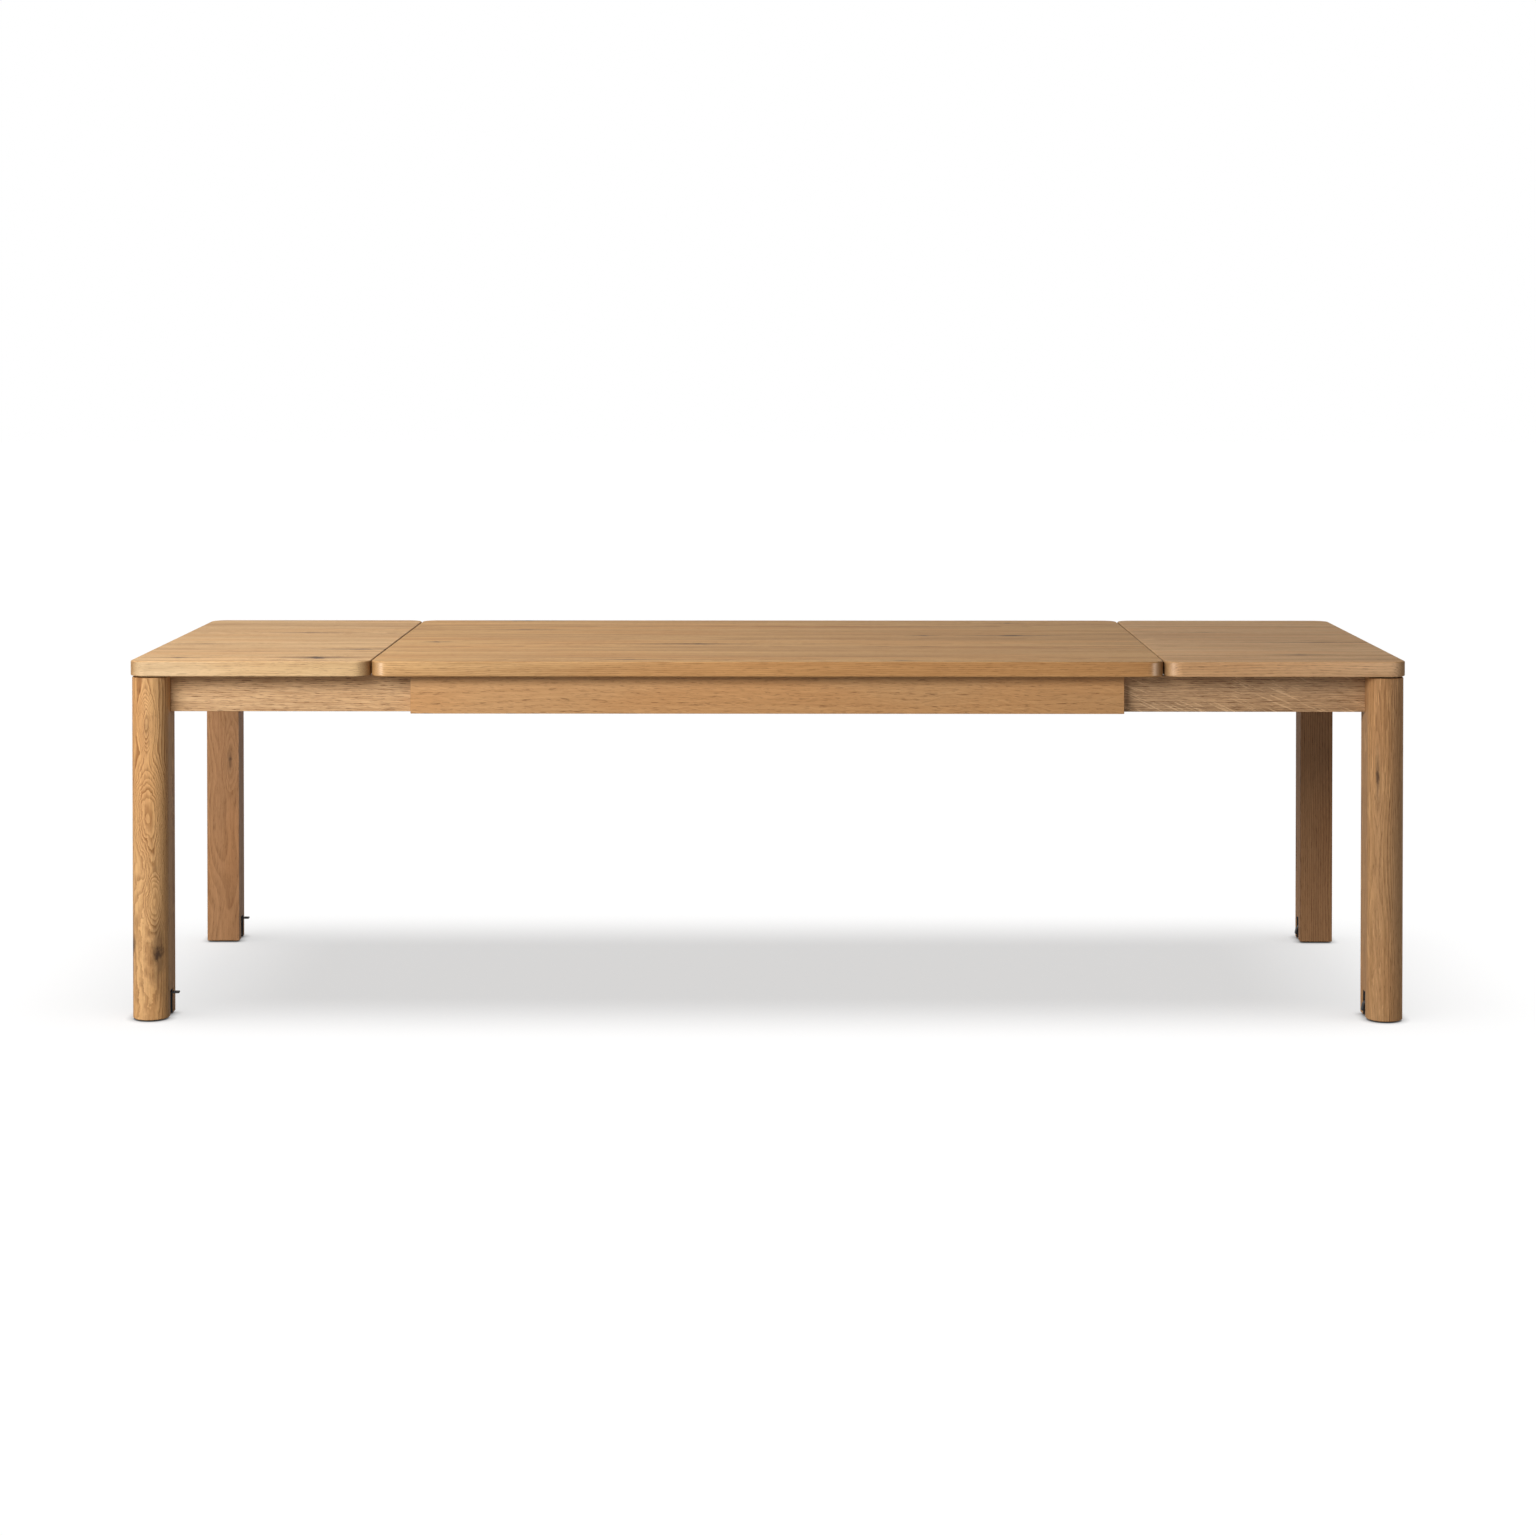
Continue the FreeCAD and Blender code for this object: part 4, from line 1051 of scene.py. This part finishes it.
bpy.data.objects.remove(wheel)

# %% [markdown]
# ## Brake levers
# A lever is a bent steel strip: a foot plate with rounded corners and three ridges for the sole, an arm
# down to the pivot, a hub and a lobe that presses on the tread. The parts are rounded first and then
# united, so that no inner walls are left.

# %% Brake levers
PIVOT = Vector((-1.280, -0.442, 0.041))
PLATE_MIDDLE, PLATE_SIZE = (0.022, 0, 0.010), (0.014, 0.016, 0.003)
PLATE_START, PLATE_TIP = 0.016, 0.0289  # along x: past the arm, and just short of the front edge
PLATE_CORNER, PLATE_BORDER, PLATE_BEVEL = 0.003, 0.0016, 0.0003
ARM_RUN = (-0.0145, 0, -0.0095)
RIDGE_STARTS, RIDGE_WIDTH, RIDGE_RISE = (0.0175, 0.0205, 0.0235), 0.0013, 0.0005
RIDGE_REACH = 0.004
LEVER_HUB, LEVER_WIDTH, LEVER_BORE = 0.0065, 0.0254, 0.00255
HUB_BORDER, HUB_BEVEL, HUB_SIDES = 0.0015, 0.0004, 40
LOBE_PLACE, LOBE_RADIUS = (0.00415, 0, -0.00297), 0.0035
LOBE_BORDER, LOBE_BEVEL = 0.0008, 0.0003


def sole(centre, normal):
    return normal.z > 0.99 and centre.x > PIVOT.x + PLATE_START


lever = block("lever", PIVOT + Vector(PLATE_MIDDLE), PLATE_SIZE)
pick_faces(lever, looks("x", -1))
push(ARM_RUN)
tip = PIVOT.x + PLATE_TIP
thick = PLATE_SIZE[2]
pick_edges(lever, lambda first, second: min(first.x, second.x) > tip and abs(first.z - second.z) > thick / 2)
bpy.ops.mesh.bevel(offset=PLATE_CORNER, segments=5, affect="EDGES")
inset(lever, sole, PLATE_BORDER)
for start in RIDGE_STARTS:
    for cut_place in (start, start + RIDGE_WIDTH):
        pick_faces(lever, sole)
        bpy.ops.mesh.bisect(plane_co=(PIVOT.x + cut_place, 0, 0), plane_no=(1, 0, 0))
ridge_middles = [PIVOT.x + start + RIDGE_WIDTH / 2 for start in RIDGE_STARTS]
pick_faces(lever, lambda centre, normal: sole(centre, normal) and abs(centre.y - PIVOT.y) < RIDGE_REACH
           and min(abs(centre.x - middle) for middle in ridge_middles) < RIDGE_WIDTH / 4)
push((0, 0, RIDGE_RISE))
round_off(lever, PLATE_BEVEL)
hub = round_bar("lever_hub", PIVOT, LEVER_HUB, LEVER_WIDTH, "y", HUB_SIDES)
inset(hub, looks("y"), HUB_BORDER)
round_off(hub, HUB_BEVEL)
combine(lever, hub, "UNION")
lobe = round_bar("lever_lobe", PIVOT + Vector(LOBE_PLACE), LOBE_RADIUS, PLATE_SIZE[1], "y")
inset(lobe, looks("y"), LOBE_BORDER)
round_off(lobe, LOBE_BEVEL)
combine(lever, lobe, "UNION")
bore = round_bar("lever_bore", PIVOT, LEVER_BORE, 2 * LEVER_WIDTH, "y")
combine(lever, bore, "DIFFERENCE")
print("lever:", len(lever.data.polygons), "faces")

# %% [markdown]
# ## Levers at the four corners
# All four brakes are the same lever. The left pair stands out and the right pair is pressed down, so the
# right copies are turned about the pivot by the full swing of their joint.

# %% Levers at the four corners
brake = next(joint for joint in frame["joints"] if joint["name"] == "right_front_brake_swing")
swing = math.radians(max(abs(limit) for limit in brake["range_deg"]))
pressed = Matrix.Rotation(-swing, 4, "Y") @ Matrix.Rotation(math.pi, 4, "Z")
to_pivot = Matrix.Translation(-PIVOT)
for corner in corners:
    right = corner.startswith("right")
    low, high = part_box(corner + "_brake_lever")
    home = Matrix.Translation((-PIVOT.x if right else PIVOT.x, (low.y + high.y) / 2, PIVOT.z))
    turn = pressed if right else Matrix()
    placed = copy_piece(lever, corner + "_foot_lever", home @ turn @ to_pivot)
    fit(placed, "black_steel", corner + "_brake_lever", corner + "_brake_lever")
bpy.data.objects.remove(lever)
print("levers:", len(corners), "and the right pair pressed by", round(math.degrees(swing)), "degrees")

# %% [markdown]
# ## Leg bolts
# Hexagon bolts with round washers hold the legs to the corner blocks. A bolt is a six-sided cylinder with
# an inset crown. A thread could be cut too, but only the head can ever be seen, so the shank stays plain.

# %% Leg bolts
BOLT_X, BOLT_Y, BOLT_Z = 1.2875, 0.350, (0.6705, 0.7065)
WASHER_RADIUS, WASHER_THICK, WASHER_BORDER = 0.010, 0.002, 0.0012
HEAD_RADIUS, HEAD_RISE, HEAD_BORDER, CROWN_RISE = 0.007, 0.005, 0.0009, 0.0002
SHANK_RADIUS, SHANK_RUN = 0.004, 0.074
BOLT_BEVEL, SHANK_BEVEL = 0.0004, 0.0006

washer = round_bar("bolt", (0, -WASHER_THICK / 2, 0), WASHER_RADIUS, WASHER_THICK, "y", 40)
inset(washer, looks("y", -1), WASHER_BORDER)
round_off(washer, BOLT_BEVEL)
head_middle = (0, CROWN_RISE - WASHER_THICK - HEAD_RISE / 2, 0)
head = round_bar("bolt_head", head_middle, HEAD_RADIUS, HEAD_RISE - 2 * CROWN_RISE, "y", 6)
inset(head, looks("y", -1), HEAD_BORDER)
push((0, -CROWN_RISE, 0))
round_off(head, BOLT_BEVEL)
shank = round_bar("bolt_shank", (0, SHANK_RUN / 2, 0), SHANK_RADIUS, SHANK_RUN, "y", 20)
round_off(shank, SHANK_BEVEL)
bolt = join("bolt", [washer, head, shank])
for end, right in ENDS.items():
    copies = []
    for back in SIDES.values():
        for height in BOLT_Z:
            home = Matrix.Translation((right * BOLT_X, back * BOLT_Y, height))
            turned = home if back > 0 else home @ Matrix.Rotation(math.pi, 4, "Z")
            copies.append(copy_piece(bolt, "bolt_copy", turned))
    fit(join(end + "_hex_bolts", copies), "zinc_plate", end + "_end", end + "_leg_bolts")
bpy.data.objects.remove(bolt)
print("bolts:", len(ENDS) * len(SIDES) * len(BOLT_Z), "with their washers")

# %% [markdown]
# ## Screws
# Countersunk screws with a cross in the head hold the slides, runners and castors. The head is a cone,
# and two bars cut the cross out of it. Each length is made once and copied to its places.

# %% Wood screws
SCREW_HEAD, SCREW_SHANK, SCREW_CONE, SCREW_BEVEL = 0.004, 0.002, 0.002, 0.00012
CROSS_LONG, CROSS_WIDE, CROSS_DEEP = 0.0046, 0.0009, 0.0014
DRIVE_UP = Matrix()
DRIVE_BACK = Matrix.Rotation(-math.pi / 2, 4, "X")
DRIVE_FRONT = Matrix.Rotation(math.pi / 2, 4, "X")


def make_screw(length):
    """A screw driven upwards, its head flush with the origin."""
    screw = round_bar("screw", (0, 0, SCREW_CONE / 2), SCREW_HEAD, SCREW_CONE, "z", 32)
    pick_faces(screw, looks("z", 1))
    narrow = SCREW_SHANK / SCREW_HEAD
    bpy.ops.transform.resize(value=(narrow, narrow, 1), center_override=(0, 0, SCREW_CONE))
    push((0, 0, length - SCREW_CONE))
    clear_selection()
    for long, wide in ((CROSS_LONG, CROSS_WIDE), (CROSS_WIDE, CROSS_LONG)):
        combine(screw, block("cross", (0, 0, 0), (long, wide, 2 * CROSS_DEEP)), "DIFFERENCE")
    round_off(screw, SCREW_BEVEL, 1)
    return screw


def drive(name, body, node, length, turns_and_places):
    first = make_screw(length)
    copies = [
        copy_piece(first, "screw_copy", Matrix.Translation(place) @ turn) for turn, place in turns_and_places
    ]
    bpy.data.objects.remove(first)
    fit(join(name, copies), "zinc_plate", body, node)
    print(name, len(copies))


print("screws can be driven")

# %% Screws in their places
SLIDE_HEIGHT = 0.6885
GUIDE_SCREW, GUIDE_ROW, GUIDE_UNDER, GUIDE_PLACES = 0.090, 0.389, 0.656, (-0.665, -0.266, 0.266, 0.665)
CHANNEL_SCREW, CHANNEL_ROW, CHANNEL_PLACES = 0.019, 0.406, (-0.5985, -0.1995, 0.1995, 0.5985)
RUNNER_SCREW, RUNNER_ROW, RUNNER_PLACES = 0.026, 0.412, (0.584, 0.884, 1.184)
CASTOR_SCREW, CASTOR_ROW, CASTOR_PLACE, ROOF_UNDER = 0.018, 0.442, 1.302, 0.055

drive("guide_screw_set", "centre", "top_screws", GUIDE_SCREW, [
    (DRIVE_UP, (x, back * GUIDE_ROW, GUIDE_UNDER)) for back in SIDES.values() for x in GUIDE_PLACES
])
drive("channel_screw_set", "centre", "channel_screws", CHANNEL_SCREW, [
    (DRIVE_FRONT if back > 0 else DRIVE_BACK, (x, back * CHANNEL_ROW, SLIDE_HEIGHT))
    for back in SIDES.values() for x in CHANNEL_PLACES
])
for end, right in ENDS.items():
    drive(end + "_runner_screw_set", end + "_end", end + "_runner_screws", RUNNER_SCREW, [
        (DRIVE_BACK if back > 0 else DRIVE_FRONT, (right * x, back * RUNNER_ROW, SLIDE_HEIGHT))
        for back in SIDES.values() for x in RUNNER_PLACES
    ])
    drive(end + "_castor_screw_set", end + "_end", end + "_castor_screws", CASTOR_SCREW, [
        (DRIVE_UP, (right * CASTOR_PLACE, back * CASTOR_ROW, ROOF_UNDER)) for back in SIDES.values()
    ])

# %% [markdown]
# ## Leaf dowels and pads
# A leaf is held in line by fluted beech dowels and rests on rubber pads over the side rails. The flutes
# let glue escape. They are cut by pushing every fourth face of the dowel a little inwards, before its
# ends are chamfered.

# %% Leaf dowels and pads
DOWEL_RADIUS, DOWEL_LONG, DOWEL_PLACE, DOWEL_HEIGHT = 0.005, 0.040, 0.838, 0.746
DOWEL_ROWS, DOWEL_BORDER, DOWEL_BEVEL = (-0.320, 0, 0.320), 0.0008, 0.0002
FLUTES, FLUTE_SIDES, FLUTE_BORDER, FLUTE_DEPTH = 12, 4, 0.00012, 0.0004
PAD_RADIUS, PAD_LOW, PAD_HIGH, PAD_PLACES, PAD_ROW = 0.009, 0.7272, 0.730, (0.898, 1.208), 0.435
PAD_BORDER, PAD_HOLLOW, PAD_BEVEL = 0.003, 0.0005, 0.0006

dowel = round_bar("dowel", (0, 0, 0), DOWEL_RADIUS, DOWEL_LONG, "x", FLUTE_SIDES * FLUTES)
inset(dowel, looks("x"), DOWEL_BORDER)
same_face = math.cos(math.pi / (2 * FLUTE_SIDES * FLUTES))
for flute in range(FLUTES):
    angle = 2 * math.pi * (flute + 0.5 / FLUTE_SIDES) / FLUTES
    out = Vector((0, math.cos(angle), math.sin(angle)))
    inset(dowel, lambda centre, normal: normal.dot(out) > same_face, FLUTE_BORDER)
    push(-out * FLUTE_DEPTH)
round_off(dowel, DOWEL_BEVEL, 1)
pad = round_bar("pad", (0, 0, (PAD_LOW + PAD_HIGH) / 2), PAD_RADIUS, PAD_HIGH - PAD_LOW, "z", 48)
inset(pad, looks("z", -1), PAD_BORDER)
push((0, 0, PAD_HOLLOW))
round_off(pad, PAD_BEVEL, 3)
for end, right in ENDS.items():
    rods = [
        copy_piece(dowel, "dowel_copy", Matrix.Translation((right * DOWEL_PLACE, row, DOWEL_HEIGHT)))
        for row in DOWEL_ROWS
    ]
    joined = join(end + "_fluted_dowels", rods)
    fit(joined, "beech_dowels", end + "_leaf", end + "_leaf_dowels")
    discs = [
        copy_piece(pad, "pad_copy", Matrix.Translation((right * place, back * PAD_ROW, 0)))
        for place in PAD_PLACES for back in SIDES.values()
    ]
    fit(join(end + "_rest_pads", discs), "pad_rubber", end + "_leaf", end + "_leaf_pads")
    print(end, "leaf:", len(rods), "dowels and", len(discs), "pads")
for original in (dowel, pad):
    bpy.data.objects.remove(original)

# %% [markdown]
# ## Size
# The dressed table has to fill the same box as the construction model. Its box is printed.

# %% Size and finish
low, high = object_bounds()
print("box:", [round(value, 4) for value in (*low, *high)])
